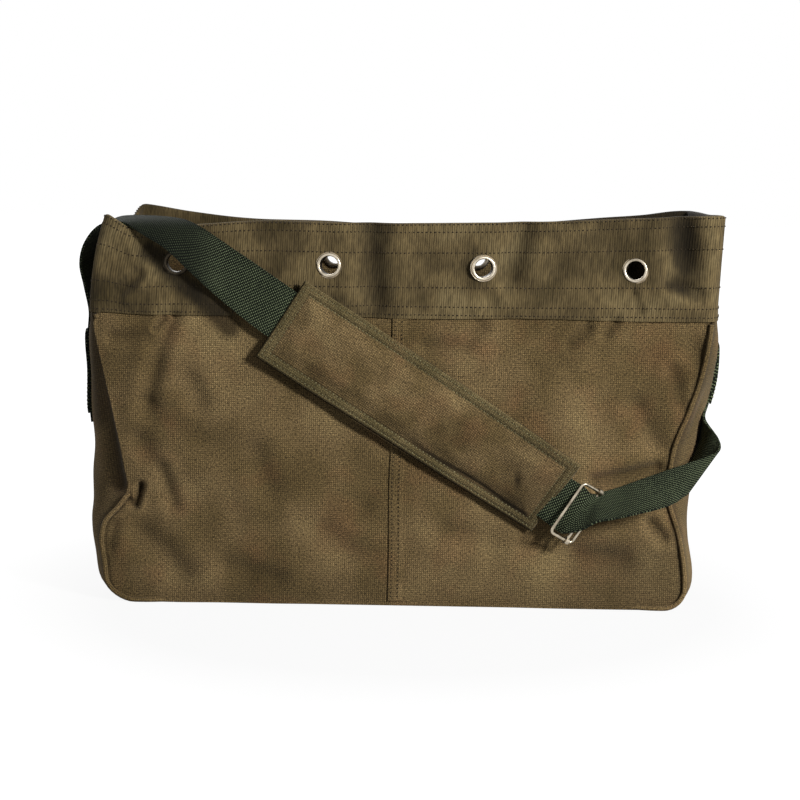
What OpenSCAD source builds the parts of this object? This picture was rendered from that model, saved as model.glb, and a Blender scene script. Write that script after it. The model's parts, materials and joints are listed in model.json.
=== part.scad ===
// Canvas messenger bag: a felled front and back, swelling side gussets, a wide eyeleted band round the
// mouth, and a webbing shoulder strap with a sliding pad and a wire slide adjuster.
// The front faces -Y, the bag stands on the XY plane, and the origin is the middle of its base.

/* [Bag body] */
// Width across the base
bag_w = 430; // [400:5:470]
// How far the mouth flares past the base at each side
mouth_flare = 10; // [4:1:14]
// Depth across the mouth, front to back
bag_d = 120; // [105:5:140]
// Height of the rim above the base
bag_h = 286; // [270:2:310]
// Thickness of the body canvas
canvas_t = 1.4; // [1:0.1:2]
// Radius of the bottom corners, seen from the front
corner_r = 28; // [15:1:40]
// How far the left upright seams draw in
left_pinch = 11; // [0:1:18]
// How far the right upright seams draw in
right_pinch = 18; // [0:1:20]
// Height above the base where they draw in most
pinch_up = 88; // [70:2:120]
// How far the left gusset swells past the base
left_swell = 22; // [14:1:24]
// How far the upper half of the right gusset swells past the base
right_swell = 20; // [14:1:22]
// How far its lower half swells
right_foot = 8; // [4:1:12]
// How far the left side of the rim stands past the base
left_rim = 5; // [3:1:12]
// How far the right side of the rim stands past the base
right_rim = 17; // [8:1:18]
// How far the front and back panels swell
panel_swell = 6; // [0:1:8]

/* [Seams] */
// Width of the felled centre seam
fell_w = 11; // [8:1:16]
// Thickness of the fell's folded lap
fell_t = 1.2; // [0.8:0.1:1.6]
// How far the centre seam lies left of the middle
fell_shift = 4; // [0:1:10]
// Width of the welt along the panel seams
welt_w = 5.6; // [4:0.2:8]
// Thickness of the welt
welt_t = 3; // [2:0.2:4]

/* [Mouth band] */
// Height of the band
band_h = 71; // [62:1:80]
// Thickness of the band cloth
band_t = 1.6; // [1.2:0.1:2]
// Thickness of the inner facing
facing_t = 1.2; // [0.8:0.1:1.6]
// How far the panel tops tuck in behind the band
tuck = 12; // [8:1:16]
// How far the hem tape and gusset tops stay below the rim
rim_fold = 3; // [2:0.5:5]

/* [Eyelets] */
// Eyelets on each side of the mouth
eyelet_count = 4; // [2:1:4]
// Distance between eyelets
eyelet_pitch = 111; // [90:1:120]
// Depth of the eyelet centres below the rim
eyelet_drop = 34; // [28:1:38]
// Diameter of the eyelet's hole
eyelet_hole = 13; // [10:0.5:15]
// Width of the rolled rim beyond the hole
eyelet_rim = 3.75; // [3:0.25:5]
// Height of the rolled rim
eyelet_rise = 1.9; // [1.4:0.1:2.4]
// Wall of the eyelet's barrel
eyelet_wall = 0.8; // [0.5:0.1:1]
// Thickness of the washer inside
washer_t = 0.8; // [0.5:0.1:1.2]

/* [Strap] */
// Width of the webbing
web_w = 38; // [30:1:40]
// Thickness of the webbing
web_t = 1.8; // [1.4:0.1:2.2]
// How far in from the base's left end the strap comes over the rim
strap_in = 61; // [56:1:76]
// How far below the rim its middle line is there
strap_drop = 28; // [24:1:30]
// How far the strap stands off the band there
strap_out = 6.5; // [6:0.5:9]
// How far in from the base's right end the strap turns
turn_in = 88; // [76:1:100]
// Height of that turn above the base
turn_up = 77; // [67:1:92]
// How far the turn hangs in front of the band
turn_out = 24; // [22:1:30]
// Rise of the lower run towards the right side
run_rise = 17; // [12:1:20]
// Height of the left sewn end above the base
left_end = 128; // [115:1:140]
// Length sewn to the left gusset
left_sewn = 76; // [60:1:80]
// Height of the right sewn end's lower edge
right_end = 150; // [140:1:160]
// Length sewn to the right gusset
right_sewn = 38; // [30:1:45]
// Thickness of the patches over the sewn ends
patch_t = 1.4; // [1:0.1:2]
// How far a patch stops short of the sewn length at each end
patch_inset = 6; // [3:1:10]

/* [Shoulder pad] */
// Length of the pad
pad_l = 240; // [200:5:250]
// Width of the pad
pad_w = 65; // [60:1:75]
// Thickness of the felt core
core_t = 3; // [2:0.5:5]
// Thickness of the cover, lining and sleeve cloth
pad_cloth = 1.1; // [0.8:0.1:1.4]
// Width of the stitched border round the core
pad_border = 8; // [6:0.5:10]
// Distance from the pad's end to the middle of the slide
pad_to_slide = 20; // [18:1:26]

/* [Wire slide] */
// Diameter of the wire
wire_d = 2.4; // [2:0.1:2.8]
// Room beside the webbing inside the wire frame
slide_room = 1.3; // [1:0.1:2]
// Clear length of the frame along the strap
slide_l = 18; // [17:0.5:20]
// Bend radius of the wire at the corners
wire_bend = 3; // [2.5:0.5:3.5]
// Tilt of the frame on the webbing
slide_tilt = 26; // [25:0.5:28]
// Length of the bar's curled collars
collar_l = 3; // [2:0.5:3.5]
// Wall of the collars
collar_wall = 1.1; // [0.8:0.1:1.4]

/* [Clearances] */
// Gap between sewn layers
sew_gap = 0.2; // [0.1:0.05:0.3]
// Running gap round pieces that slide
run_gap = 0.3; // [0.2:0.05:0.5]

/* [Hidden] */
$fn = 48;

canvas_colour = "#6b5c3e";
band_colour = "#75694a";
webbing_colour = "#3a4a3c";
metal_colour = "#c9c4b6";

// Levels and faces that the layers share
band_z = bag_h - band_h;
seam_y = bag_d / 2 - band_t - sew_gap;
side_x = bag_w / 2 - band_t - sew_gap;
inner_y = seam_y - canvas_t - sew_gap;
facing_in = band_t + canvas_t + 2 * sew_gap;
stack_t = facing_in + facing_t;
edge_in = 11 * sew_gap;
mouth_x = side_x + mouth_flare + sew_gap + band_t;
panel_rows = 8;
panel_columns = 6;
gusset_columns = 12;
band_rows = 8;
run_steps = 4;
web_columns = 4;
cut_past = 5;
lie_gap = 2 * sew_gap;
fold_gap = 4 * run_gap;

// Shape of the filled bag, by wall (-1 left, 1 right): seams draw in, the walls swell and the mouth flares
swell_up = 70;
foot_up = 40;
swell_top = band_z - 10;
pinch_bend = ln(0.5) / ln((pinch_up - corner_r) / (band_z - corner_r));
function part_up(z) = max(0, min(1, (z - corner_r) / (band_z - corner_r)));
function seam_draw(wall, z) =
    (wall < 0 ? left_pinch : right_pinch) * pow(sin(180 * pow(part_up(z), pinch_bend)), 2);
function flare(z) = mouth_flare * pow(part_up(z), 2);
function corner_cut(z) = z >= corner_r ? 0 : corner_r - sqrt(pow(corner_r, 2) - pow(corner_r - z, 2));
function seam_x(wall, z) = side_x + flare(z) - corner_cut(z) - seam_draw(wall, z);
function upper_half(z) = (1 - cos(180 * max(0, min(1, (z - pinch_up) / (swell_top - pinch_up))))) / 2;
function grown(wall, z) =
    wall < 0 ? left_swell * sin(90 * min(1, z / swell_up)) :
    right_foot * sin(90 * min(1, z / foot_up)) + (right_swell - right_foot) * upper_half(z);
function side_rise(wall, z) =
    z <= swell_top ? grown(wall, z) :
    let (full = grown(wall, swell_top), rim = wall < 0 ? left_rim : right_rim)
    full + (rim - full) * (z - swell_top) / (bag_h - swell_top);
function gusset_bow(wall, y, z) =
    (side_rise(wall, z) - flare(z) + seam_draw(wall, z)) * (1 - pow(y / seam_y, 2));
function gusset_x(wall, y, z) = seam_x(wall, z) + gusset_bow(wall, y, z);
function panel_rise(z) =
    z <= welt_w || z >= band_z ? 0 : sin(180 * (z - welt_w) / (band_z - welt_w));
function panel_half(z) = min(seam_x(-1, z), seam_x(1, z)) - welt_w - 1;
function panel_y(x, z) = -seam_y - panel_swell * panel_rise(z) * max(0, 1 - pow(x / panel_half(z), 2));

corner_angles = [for (a = [-90:22.5:0]) a];
wall_levels = [for (i = [1:panel_rows]) corner_r + (band_z - corner_r) * i / panel_rows];
panel_levels = concat([for (a = corner_angles) corner_r * (1 + sin(a))], wall_levels, [band_z + tuck]);

// A closed sheet between two grids of points, rows upward and columns to the right seen from outside
function sheet_faces(n, m) =
    let (k = n * m)
    concat(
        [for (i = [0:n - 2], j = [0:m - 2]) let (a = i * m + j) [a, a + m, a + m + 1]],
        [for (i = [0:n - 2], j = [0:m - 2]) let (a = i * m + j) [a, a + m + 1, a + 1]],
        [for (i = [0:n - 2], j = [0:m - 2]) let (a = k + i * m + j) [a, a + m + 1, a + m]],
        [for (i = [0:n - 2], j = [0:m - 2]) let (a = k + i * m + j) [a, a + 1, a + m + 1]],
        [for (j = [0:m - 2]) [j, j + 1, k + j]],
        [for (j = [0:m - 2]) [j + 1, k + j + 1, k + j]],
        [for (j = [0:m - 2]) let (a = (n - 1) * m + j) [a, k + a, k + a + 1]],
        [for (j = [0:m - 2]) let (a = (n - 1) * m + j) [a, k + a + 1, a + 1]],
        [for (i = [0:n - 2]) let (a = i * m) [a, k + a, k + a + m]],
        [for (i = [0:n - 2]) let (a = i * m) [a, k + a + m, a + m]],
        [for (i = [0:n - 2]) let (a = i * m + m - 1) [a, a + m, k + a + m]],
        [for (i = [0:n - 2]) let (a = i * m + m - 1) [a, k + a + m, k + a]]);
function flat(rows) = [for (row = rows) for (p = row) p];
module sheet(outer, inner) {
    polyhedron(concat(flat(outer), flat(inner)), sheet_faces(len(outer), len(outer[0])), convexity = 6);
}

module turn_round() { rotate([0, 0, 180]) children(); }

// Front and back panels, each in two halves that meet at the centre seam
module panel(side, wall) {
    function reach(z) = seam_x(wall, z) - edge_in;
    function start(z) = side < 0 ? -reach(z) : -fell_shift + sew_gap / 2;
    function stop(z) = side < 0 ? -fell_shift - sew_gap / 2 : reach(z);
    function across(z) = [for (j = [0:panel_columns]) start(z) + (stop(z) - start(z)) * j / panel_columns];
    color(canvas_colour) sheet(
        [for (z = panel_levels) [for (x = across(z)) [x, panel_y(x, z), z]]],
        [for (z = panel_levels) [for (x = across(z)) [x, panel_y(x, z) + canvas_t, z]]]);
}

module fell() {
    levels = [for (z = panel_levels) if (z > welt_w + 1 && z < band_z - 1) z];
    reach = concat([welt_w + 1], levels, [band_z - sew_gap]);
    across = [for (f = [-0.5:0.5:0.5]) -fell_shift + f * fell_w];
    color(canvas_colour) sheet(
        [for (z = reach) [for (x = across) [x, panel_y(x, z) - sew_gap - fell_t, z]]],
        [for (z = reach) [for (x = across) [x, panel_y(x, z) - sew_gap, z]]]);
}

// Side gusset, which turns under at the bottom corner and runs up behind the band
module gusset(side) {
    depths = [for (j = [0:gusset_columns]) side * inner_y * (2 * j / gusset_columns - 1)];
    top = bag_h - rim_fold;
    levels = concat(wall_levels, [for (i = [1:band_rows]) band_z + (top - band_z) * i / band_rows]);
    function turned(a, r) = [side_x - corner_r + r * cos(a), corner_r + r * sin(a)];
    outer = concat([for (a = corner_angles) turned(a, corner_r)], [for (z = levels) [seam_x(side, z), z]]);
    inner = concat([for (a = corner_angles) turned(a, corner_r - canvas_t)],
                   [for (z = levels) [seam_x(side, z) - canvas_t, z]]);
    color(canvas_colour) sheet(
        [for (p = outer) [for (y = depths) [side * (p[0] + gusset_bow(side, y, p[1])), y, p[1]]]],
        [for (i = [0:len(inner) - 1]) let (p = inner[i])
            [for (y = depths) [side * (p[0] + gusset_bow(side, y, outer[i][1])), y, p[1]]]]);
}

module gusset_base() {
    length = 2 * (side_x - corner_r - sew_gap);
    color(canvas_colour) translate([-length / 2, -inner_y, 0]) cube([length, 2 * inner_y, canvas_t]);
}

// Welt along the seam of a panel: down one side, along the base and up the other side
module welt(turned) {
    inset = welt_w / 2 + sew_gap;
    sides = 8;
    top = band_z - 1;
    turning = [for (a = corner_angles) [side_x - corner_r + (corner_r - inset) * cos(a),
                                        corner_r + (corner_r - inset) * sin(a)]];
    function climb(wall) =
        concat(turning, [for (z = wall_levels) [seam_x(wall, min(z, top)) - inset, min(z, top)]]);
    left = climb(turned ? 1 : -1);
    path = concat([for (i = [len(left) - 1:-1:0]) [-left[i][0], left[i][1]]], climb(turned ? -1 : 1));
    function along(i) = let (d = path[min(i + 1, len(path) - 1)] - path[max(i - 1, 0)]) d / norm(d);
    function ring(i) = let (d = along(i))
        [for (s = [0:sides - 1]) let (a = 360 * s / sides, u = cos(a) * welt_w / 2)
            [path[i][0] - d[1] * u, -seam_y - run_gap - (1 - sin(a)) * welt_t / 2, path[i][1] + d[0] * u]];
    n = len(path);
    points = flat([for (i = [0:n - 1]) ring(i)]);
    walls = [for (i = [0:n - 2], s = [0:sides - 1], h = [0, 1])
        let (a = i * sides + s, b = i * sides + (s + 1) % sides)
        h == 0 ? [a, b, b + sides] : [a, b + sides, a + sides]];
    ends = [[for (s = [0:sides - 1]) sides - 1 - s], [for (s = [0:sides - 1]) (n - 1) * sides + s]];
    color(canvas_colour) polyhedron(points, concat(walls, ends), convexity = 6);
}

// Layers round the mouth: flat at front and back, and between them side layers that follow the gussets
module front_layer(inset, t, half, low, high) {
    run = half - t / 2;
    difference() {
        translate([0, inset - bag_d / 2, low]) linear_extrude(high - low) {
            translate([-run, 0]) square([2 * run, t]);
            for (x = [-run, run]) translate([x, t / 2]) circle(t / 2);
        }
        eyelet_holes();
    }
}
module side_layer(side, out, t, half, low, high) {
    levels = [for (i = [0:band_rows]) low + (high - low) * i / band_rows];
    depths = [for (j = [0:gusset_columns]) side * half * (2 * j / gusset_columns - 1)];
    sheet([for (z = levels) [for (y = depths) [side * (gusset_x(side, y, z) + out + t), y, z]]],
          [for (z = levels) [for (y = depths) [side * (gusset_x(side, y, z) + out), y, z]]]);
}
facing_z = bag_h - sew_gap;
facing_x = mouth_x - facing_in - 5 * sew_gap;
facing_y = bag_d / 2 - stack_t - sew_gap;
module band_long() { color(band_colour) front_layer(0, band_t, mouth_x, band_z, bag_h); }
module band_short(side) { color(band_colour) side_layer(side, sew_gap, band_t, seam_y, band_z, bag_h); }
module facing_long() { color(canvas_colour) front_layer(facing_in, facing_t, facing_x, band_z, facing_z); }
module facing_short(side) {
    color(canvas_colour)
        side_layer(side, -canvas_t - sew_gap - facing_t, facing_t, facing_y, band_z, facing_z);
}
module hem_tape() {
    half = side_x + mouth_flare - canvas_t - 2 * sew_gap - edge_in;
    low = band_z + tuck + sew_gap;
    color(canvas_colour) difference() {
        translate([-half, -seam_y, low]) cube([2 * half, canvas_t, bag_h - rim_fold - low]);
        eyelet_holes();
    }
}

// Eyelets with a rolled rim outside and a washer inside, on axes across the bag
hole_r = eyelet_hole / 2;
barrel_r = hole_r + eyelet_wall;
module at_eyelets() {
    for (i = [0:eyelet_count - 1])
        translate([(i - (eyelet_count - 1) / 2) * eyelet_pitch, -bag_d / 2, bag_h - eyelet_drop])
            rotate([90, 0, 0]) children();
}
module eyelet_holes() {
    at_eyelets() translate([0, 0, -stack_t - cut_past])
        cylinder(r = barrel_r + sew_gap, h = stack_t + 2 * cut_past);
}
module eyelets() {
    roll = eyelet_rise / 2;
    back = stack_t + washer_t + 2 * sew_gap;
    color(metal_colour) at_eyelets() rotate_extrude() {
        translate([hole_r + roll, roll + sew_gap / 2]) circle(roll);
        translate([hole_r + eyelet_rim - roll, roll + sew_gap / 2]) circle(roll);
        translate([hole_r + roll, sew_gap / 2]) square([eyelet_rim - 2 * roll, eyelet_rise]);
        translate([hole_r, -back - eyelet_wall])
            square([eyelet_wall, back + eyelet_wall + roll + sew_gap / 2]);
        translate([hole_r, -back - eyelet_wall]) square([2.5 * eyelet_wall, eyelet_wall]);
    }
}
module washers() {
    color(metal_colour) at_eyelets() translate([0, 0, -stack_t - sew_gap - washer_t]) difference() {
        cylinder(r = hole_r + eyelet_rim, h = washer_t);
        translate([0, 0, -cut_past]) cylinder(r = barrel_r + sew_gap, h = washer_t + 2 * cut_past);
    }
}

// The strap's diagonal: its own frame runs along the webbing from the rim to the turn, Z up its width
rim_point = [-bag_w / 2 + strap_in, -bag_d / 2 - strap_out, bag_h - strap_drop];
turn_point = [bag_w / 2 - turn_in, -bag_d / 2 - turn_out, turn_up];
fall = turn_point - rim_point;
fall_l = norm(fall);
fall_dip = atan2(-fall[2], fall[0]);
fall_lean = asin(-fall[1] / fall_l);
along_fall = fall / fall_l;
up_fall = [sin(fall_dip), 0, cos(fall_dip)];
function on_fall(x, z) = rim_point + along_fall * x + up_fall * z;
module on_fall() { translate(rim_point) rotate([0, fall_dip, 0]) rotate([0, 0, -fall_lean]) children(); }

fall_start = -18;
fall_end = fall_l + 2;
module strap_front() {
    color(webbing_colour) on_fall() translate([fall_start, -web_t / 2, -web_w / 2])
        cube([fall_end - fall_start, web_t, web_w]);
}

// Free webbing as a ribbon through pairs of edge points: upper edge, lower edge and crown between them
function between(a, b, c, d, t) =
    0.5 * (2 * b + (c - a) * t + (2 * a - 5 * b + 4 * c - d) * t * t + (3 * b - a - 3 * c + d) * t * t * t);
function smooth_run(p) =
    let (last = len(p) - 1)
    concat([for (i = [0:last - 1], k = [0:run_steps - 1])
        between(p[max(i - 1, 0)], p[i], p[i + 1], p[min(i + 2, last)], k / run_steps)], [p[last]]);
function pair(u, v, crown = 0) = concat(u, v, [crown]);
function upper(s) = [s[0], s[1], s[2]];
function lower(s) = [s[3], s[4], s[5]];
function unit(v) = v / norm(v);
function run_normal(run, i) =
    let (a = run[max(i - 1, 0)], b = run[min(i + 1, len(run) - 1)])
    unit(cross(lower(run[i]) - upper(run[i]), upper(b) + lower(b) - upper(a) - lower(a)));
function run_row(run, i, off) =
    let (n = run_normal(run, i), u = upper(run[i]), v = lower(run[i]), c = run[i][6])
    [for (j = [0:web_columns]) let (f = j / web_columns) u + (v - u) * f + n * (off + 4 * c * f * (1 - f))];
module ribbon(pairs) {
    run = smooth_run(pairs);
    color(webbing_colour) sheet([for (i = [0:len(run) - 1]) run_row(run, i, web_t / 2)],
                                [for (i = [0:len(run) - 1]) run_row(run, i, -web_t / 2)]);
}

// A pair of edge points on a side gusset, with the webbing lying on its swell
function sewn(side, face, z) =
    let (half = web_w / 2, off = lie_gap + web_t / 2, edge = gusset_x(side, half, z) + off,
         bow = gusset_x(side, 0, z) - gusset_x(side, half, z))
    pair([side * edge, half, z], [side * edge, -half, z], face * bow);
function beside(y, z, off) = [gusset_x(1, y, z) + off, y, z];

left_top = left_end + left_sewn;
rim_y = -bag_d / 2;
module strap_left() {
    side = -mouth_x;
    ribbon([
        sewn(-1, 1, left_end), sewn(-1, 1, left_end + left_sewn / 5),
        sewn(-1, 1, left_end + 2 * left_sewn / 5), sewn(-1, 1, left_end + 3 * left_sewn / 5),
        sewn(-1, 1, left_end + 4 * left_sewn / 5), sewn(-1, 1, left_top) - [0.7, 0, 0, 0.9, 0, 0, 0],
        pair([side - 13.5, 17, left_top + 11], [side - 14, -20.5, left_top + 10], 0.8),
        pair([side - 13.5, 12, left_top + 30], [side - 15.5, -25, left_top + 26]),
        pair([side - 12, 3, bag_h - 28], [side - 17, -33, bag_h - 37]),
        pair([side - 5, -9, bag_h - 2], [side - 13, -43, bag_h - 12]),
        pair([side + 18, -24, bag_h + 6.5], [side + 8, rim_y + 8, bag_h + 6], 1),
        pair([side + 45, -42, bag_h + 8], [side + 25, rim_y - 3, bag_h + 4], 1.5),
        pair([side + 63, rim_y + 3, bag_h + 7.5], [side + 37, rim_y - 7.5, bag_h - 12], 1.5),
        pair(on_fall(fall_start - 2 * run_gap, web_w / 2), on_fall(fall_start - 2 * run_gap, -web_w / 2))]);
}

// The lower run: round the turn, then out to the right side, tilting until its lower edge stands forward
run_at = [14, 30, 50];
run_tilt = [0, 24, 44];
run_dir = [cos(run_rise), 0, sin(run_rise)];
run_up = [-sin(run_rise), 0, cos(run_rise)];
function on_run(x, z, tilt) =
    turn_point + along_fall * 11 + run_dir * x + (run_up * cos(tilt) + [0, sin(tilt), 0]) * z;
function run_pair(i, half) =
    pair(on_run(run_at[i], half, run_tilt[i]), on_run(run_at[i], -half, run_tilt[i]));
// The loop swings on a line from the fold over the rim to the fold beside the right gusset
fold_over_rim = [57, -6, 12];
fold_at_side = [15, -4, 31];
hinge_a = [-bag_w / 2, rim_y, bag_h] + fold_over_rim;
hinge_b = [bag_w / 2, rim_y, turn_up] + fold_at_side;
hinge_dir = unit(hinge_a - hinge_b);
function fold_pair(gap) =
    let (p = hinge_b + hinge_dir * gap, half = 0.41 * web_w) pair(p + [0, half, 0], p - [0, half, 0]);
module strap_lower() {
    half = web_w / 2;
    x = bag_w / 2;
    start = pair(on_fall(fall_end + run_gap, half), on_fall(fall_end + run_gap, -half));
    onward = run_pair(0, half);
    bend = (start + onward) / 2 + [0, 0, 0, -1, 0, -3.5, 0];
    ribbon([
        start, bend, onward, run_pair(1, half), run_pair(2, half - 1),
        pair([x - 15, rim_y - 6.5, turn_up + 26], [x - 9, rim_y - 31, turn_up + 9]),
        fold_pair(fold_gap)]);
}
module strap_right() {
    low = right_end;
    ribbon([
        fold_pair(-fold_gap),
        pair([bag_w / 2 + 22, -34, turn_up + 29], [bag_w / 2 + 24, rim_y - 4, turn_up + 39]),
        pair(beside(-10, turn_up + 41, 8), beside(-46, turn_up + 51, 21)),
        pair(beside(12, low - 16, 4.5), beside(-26, low - 8, 6)),
        sewn(1, -1, low), sewn(1, -1, low + right_sewn / 2), sewn(1, -1, low + right_sewn)]);
}

// Patches sewn over the strap's ends
module patch(side, low, high) {
    levels = [for (i = [0:run_steps]) low + (high - low) * i / run_steps];
    depths = [for (j = [0:web_columns]) side * web_w * (j / web_columns - 0.5)];
    under = 2 * lie_gap + web_t + sew_gap;
    color(webbing_colour) sheet(
        [for (z = levels) [for (y = depths) [side * (gusset_x(side, y, z) + under + patch_t), y, z]]],
        [for (z = levels) [for (y = depths) [side * (gusset_x(side, y, z) + under), y, z]]]);
}

// Shoulder pad: a stitched cover over a felt core and a lining, with a sleeve behind for the webbing
pad_start = fall_l - pad_to_slide - pad_l;
lining_y = web_t / 2 + run_gap;
core_y = lining_y + pad_cloth + sew_gap;
module pad_slab(inset, y, t, trim = 0) {
    on_fall() translate([pad_start + inset, y, -pad_w / 2 + inset + trim])
        cube([pad_l - 2 * inset, t, pad_w - 2 * (inset + trim)]);
}
module pad_cover() {
    deep = core_t + sew_gap;
    color(canvas_colour) difference() {
        pad_slab(0, -core_y - deep - pad_cloth, deep + pad_cloth);
        pad_slab(pad_border, -core_y - deep, deep + cut_past);
    }
}
module pad_core() { color("#55503f") pad_slab(pad_border + sew_gap, -core_y - core_t, core_t); }
module pad_lining() { color(canvas_colour) pad_slab(0, -lining_y - pad_cloth, pad_cloth); }
module pad_sleeve() {
    rail = -lining_y + sew_gap;
    color(canvas_colour) difference() {
        pad_slab(0, rail, lining_y + pad_cloth - rail);
        on_fall() translate([pad_start - cut_past, rail - cut_past, -pad_w / 2 + pad_border + 2])
            cube([pad_l + 2 * cut_past, lining_y - rail + cut_past, pad_w - 2 * (pad_border + 2)]);
    }
}

// Wire slide: the near wire lies over the webbing, the sliding bar and the far wire under it
wire_r = wire_d / 2;
slide_w = web_w + 2 * slide_room + wire_d;
slide_span = slide_l + wire_d;
near_up = web_t / 2 + wire_r + 2 * run_gap;
bar_at = slide_span - wire_bend - collar_l / 2 - run_gap;
module on_slide() {
    on_fall() translate([fall_l - slide_span * cos(slide_tilt) / 2, -near_up, 0])
        rotate([0, 0, slide_tilt]) children();
}
module slide_frame() {
    long = slide_w - 2 * wire_bend;
    short = slide_span - 2 * wire_bend;
    color(metal_colour) on_slide() {
        for (x = [0, slide_span]) translate([x, 0, -long / 2]) cylinder(r = wire_r, h = long);
        for (z = [-1, 1]) translate([wire_bend, 0, z * slide_w / 2]) rotate([0, 90, 0])
            cylinder(r = wire_r, h = short);
        for (x = [0, 1], z = [0, 1])
            translate([slide_span / 2, 0, 0]) mirror([x, 0, 0]) mirror([0, 0, z])
                translate([short / 2, 0, long / 2]) rotate([90, 0, 0])
                    rotate_extrude(angle = 90) translate([wire_bend, 0]) circle(wire_r);
    }
}
module slide_bar() {
    bore_r = wire_r + run_gap;
    color(metal_colour) on_slide() translate([bar_at, 0, 0]) {
        difference() {
            union() {
                translate([0, 0, -slide_w / 2]) cylinder(r = wire_r, h = slide_w);
                for (z = [-1, 1]) translate([-collar_l / 2, 0, z * slide_w / 2]) rotate([0, 90, 0])
                    cylinder(r = bore_r + collar_wall, h = collar_l);
            }
            for (z = [-1, 1]) translate([-collar_l, 0, z * slide_w / 2]) rotate([0, 90, 0])
                cylinder(r = bore_r, h = 2 * collar_l);
        }
    }
}

panel(-1, -1);  // front_panel_left
panel(1, 1);  // front_panel_right
fell();  // front_fell
turn_round() panel(1, -1);  // back_panel_left
turn_round() panel(-1, 1);  // back_panel_right
turn_round() fell();  // back_fell
gusset(-1);  // gusset_left
gusset(1);  // gusset_right
gusset_base();
welt(false);  // welt_front
turn_round() welt(true);  // welt_back
band_long();  // band_front
turn_round() band_long();  // band_back
band_short(-1);  // band_left
band_short(1);  // band_right
facing_long();  // facing_front
turn_round() facing_long();  // facing_back
facing_short(-1);  // facing_left
facing_short(1);  // facing_right
hem_tape();  // hem_tape_front
turn_round() hem_tape();  // hem_tape_back
eyelets();  // eyelets_front
turn_round() eyelets();  // eyelets_back
washers();  // washers_front
turn_round() washers();  // washers_back
strap_left();
strap_right();
patch(-1, left_end + patch_inset, left_top - patch_inset);  // strap_patch_left
patch(1, right_end, right_end + right_sewn + patch_inset);  // strap_patch_right
strap_front();
strap_lower();
pad_cover();
pad_core();
pad_lining();
pad_sleeve();
slide_frame();
slide_bar();
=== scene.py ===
import bpy
import json
import math
import numpy as np
from mathutils import Matrix, Vector


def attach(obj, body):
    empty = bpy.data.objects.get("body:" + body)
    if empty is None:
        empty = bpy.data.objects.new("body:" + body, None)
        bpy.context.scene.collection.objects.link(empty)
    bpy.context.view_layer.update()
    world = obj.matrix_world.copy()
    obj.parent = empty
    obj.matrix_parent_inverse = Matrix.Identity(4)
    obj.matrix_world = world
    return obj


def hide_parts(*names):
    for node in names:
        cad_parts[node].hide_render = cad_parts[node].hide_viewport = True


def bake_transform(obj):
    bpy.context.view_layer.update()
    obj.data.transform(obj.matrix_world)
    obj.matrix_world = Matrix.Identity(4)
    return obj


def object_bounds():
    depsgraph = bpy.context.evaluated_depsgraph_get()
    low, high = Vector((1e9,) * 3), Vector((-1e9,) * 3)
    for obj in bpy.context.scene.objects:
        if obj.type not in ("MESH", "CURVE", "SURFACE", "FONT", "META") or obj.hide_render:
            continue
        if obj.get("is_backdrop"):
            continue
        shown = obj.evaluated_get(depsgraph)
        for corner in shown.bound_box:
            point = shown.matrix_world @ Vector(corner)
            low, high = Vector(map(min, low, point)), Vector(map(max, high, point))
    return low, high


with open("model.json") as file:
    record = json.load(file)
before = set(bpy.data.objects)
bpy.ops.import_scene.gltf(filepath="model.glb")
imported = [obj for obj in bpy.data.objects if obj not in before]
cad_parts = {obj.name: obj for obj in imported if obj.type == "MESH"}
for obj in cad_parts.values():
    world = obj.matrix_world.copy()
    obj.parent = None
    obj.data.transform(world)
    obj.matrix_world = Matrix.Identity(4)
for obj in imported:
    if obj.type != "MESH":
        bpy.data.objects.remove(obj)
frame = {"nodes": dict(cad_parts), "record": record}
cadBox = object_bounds()
bpy.ops.object.select_all(action="DESELECT")
print("frame loaded:", len(frame["nodes"]), "nodes")


def linear(hexColour):      # sRGB hex to linear rgba
    parts = [int(hexColour[i:i + 2], 16) / 255 for i in (1, 3, 5)]
    return tuple(c / 12.92 if c <= 0.04045 else ((c + 0.055) / 1.055) ** 2.4 for c in parts) + (1.0,)


def addNode(tree, kind, settings=None, links=None, stops=None):
    node = tree.nodes.new(kind)
    for key, value in (settings or {}).items():
        if isinstance(key, int) or key in node.inputs:
            node.inputs[key].default_value = value
        else:
            setattr(node, key, value)
    if stops:
        ramp = node.color_ramp
        while len(ramp.elements) < len(stops):
            ramp.elements.new(0.5)
        for element, (place, colour) in zip(ramp.elements, stops):
            element.position = place
            element.color = linear(colour) if isinstance(colour, str) else (colour, colour, colour, 1)
    for key, source in (links or {}).items():
        tree.links.new(source, node.inputs[key])
    return node


def newMaterial(name):
    material = bpy.data.materials.new(name)
    material.use_nodes = True
    material.node_tree.nodes.clear()
    return material, material.node_tree


def waveScale(pitch):       # scale of a Wave texture whose bands repeat every pitch mm
    return 2 * math.pi / 20 / (pitch / 1000)


def wave(tree, way, pitch, vector, wobble, wobbleScale):
    return addNode(tree, "ShaderNodeTexWave", {"bands_direction": way, "Scale": waveScale(pitch), "Distortion": wobble,
                   "Detail": 1, "Detail Scale": wobbleScale}, {"Vector": vector}).outputs["Fac"]


def noise(tree, size, vector, detail, roughness=0.5):       # size in mm
    return addNode(tree, "ShaderNodeTexNoise", {"Scale": 1000 / size, "Detail": detail, "Roughness": roughness},
                   {"Vector": vector}).outputs["Fac"]


def mapped(tree, vector, **settings):
    return addNode(tree, "ShaderNodeMapping", settings, {"Vector": vector}).outputs[0]


def longNoise(tree, wide, high, vector, detail, roughness=0.5):      # size in mm each way
    return noise(tree, 1000, mapped(tree, vector, Scale=(1000 / wide, 1000 / high, 1)), detail, roughness)


def combined(tree, operation, a, b):
    return addNode(tree, "ShaderNodeMath", {"operation": operation}, {0: a, 1: b}).outputs[0]


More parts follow.
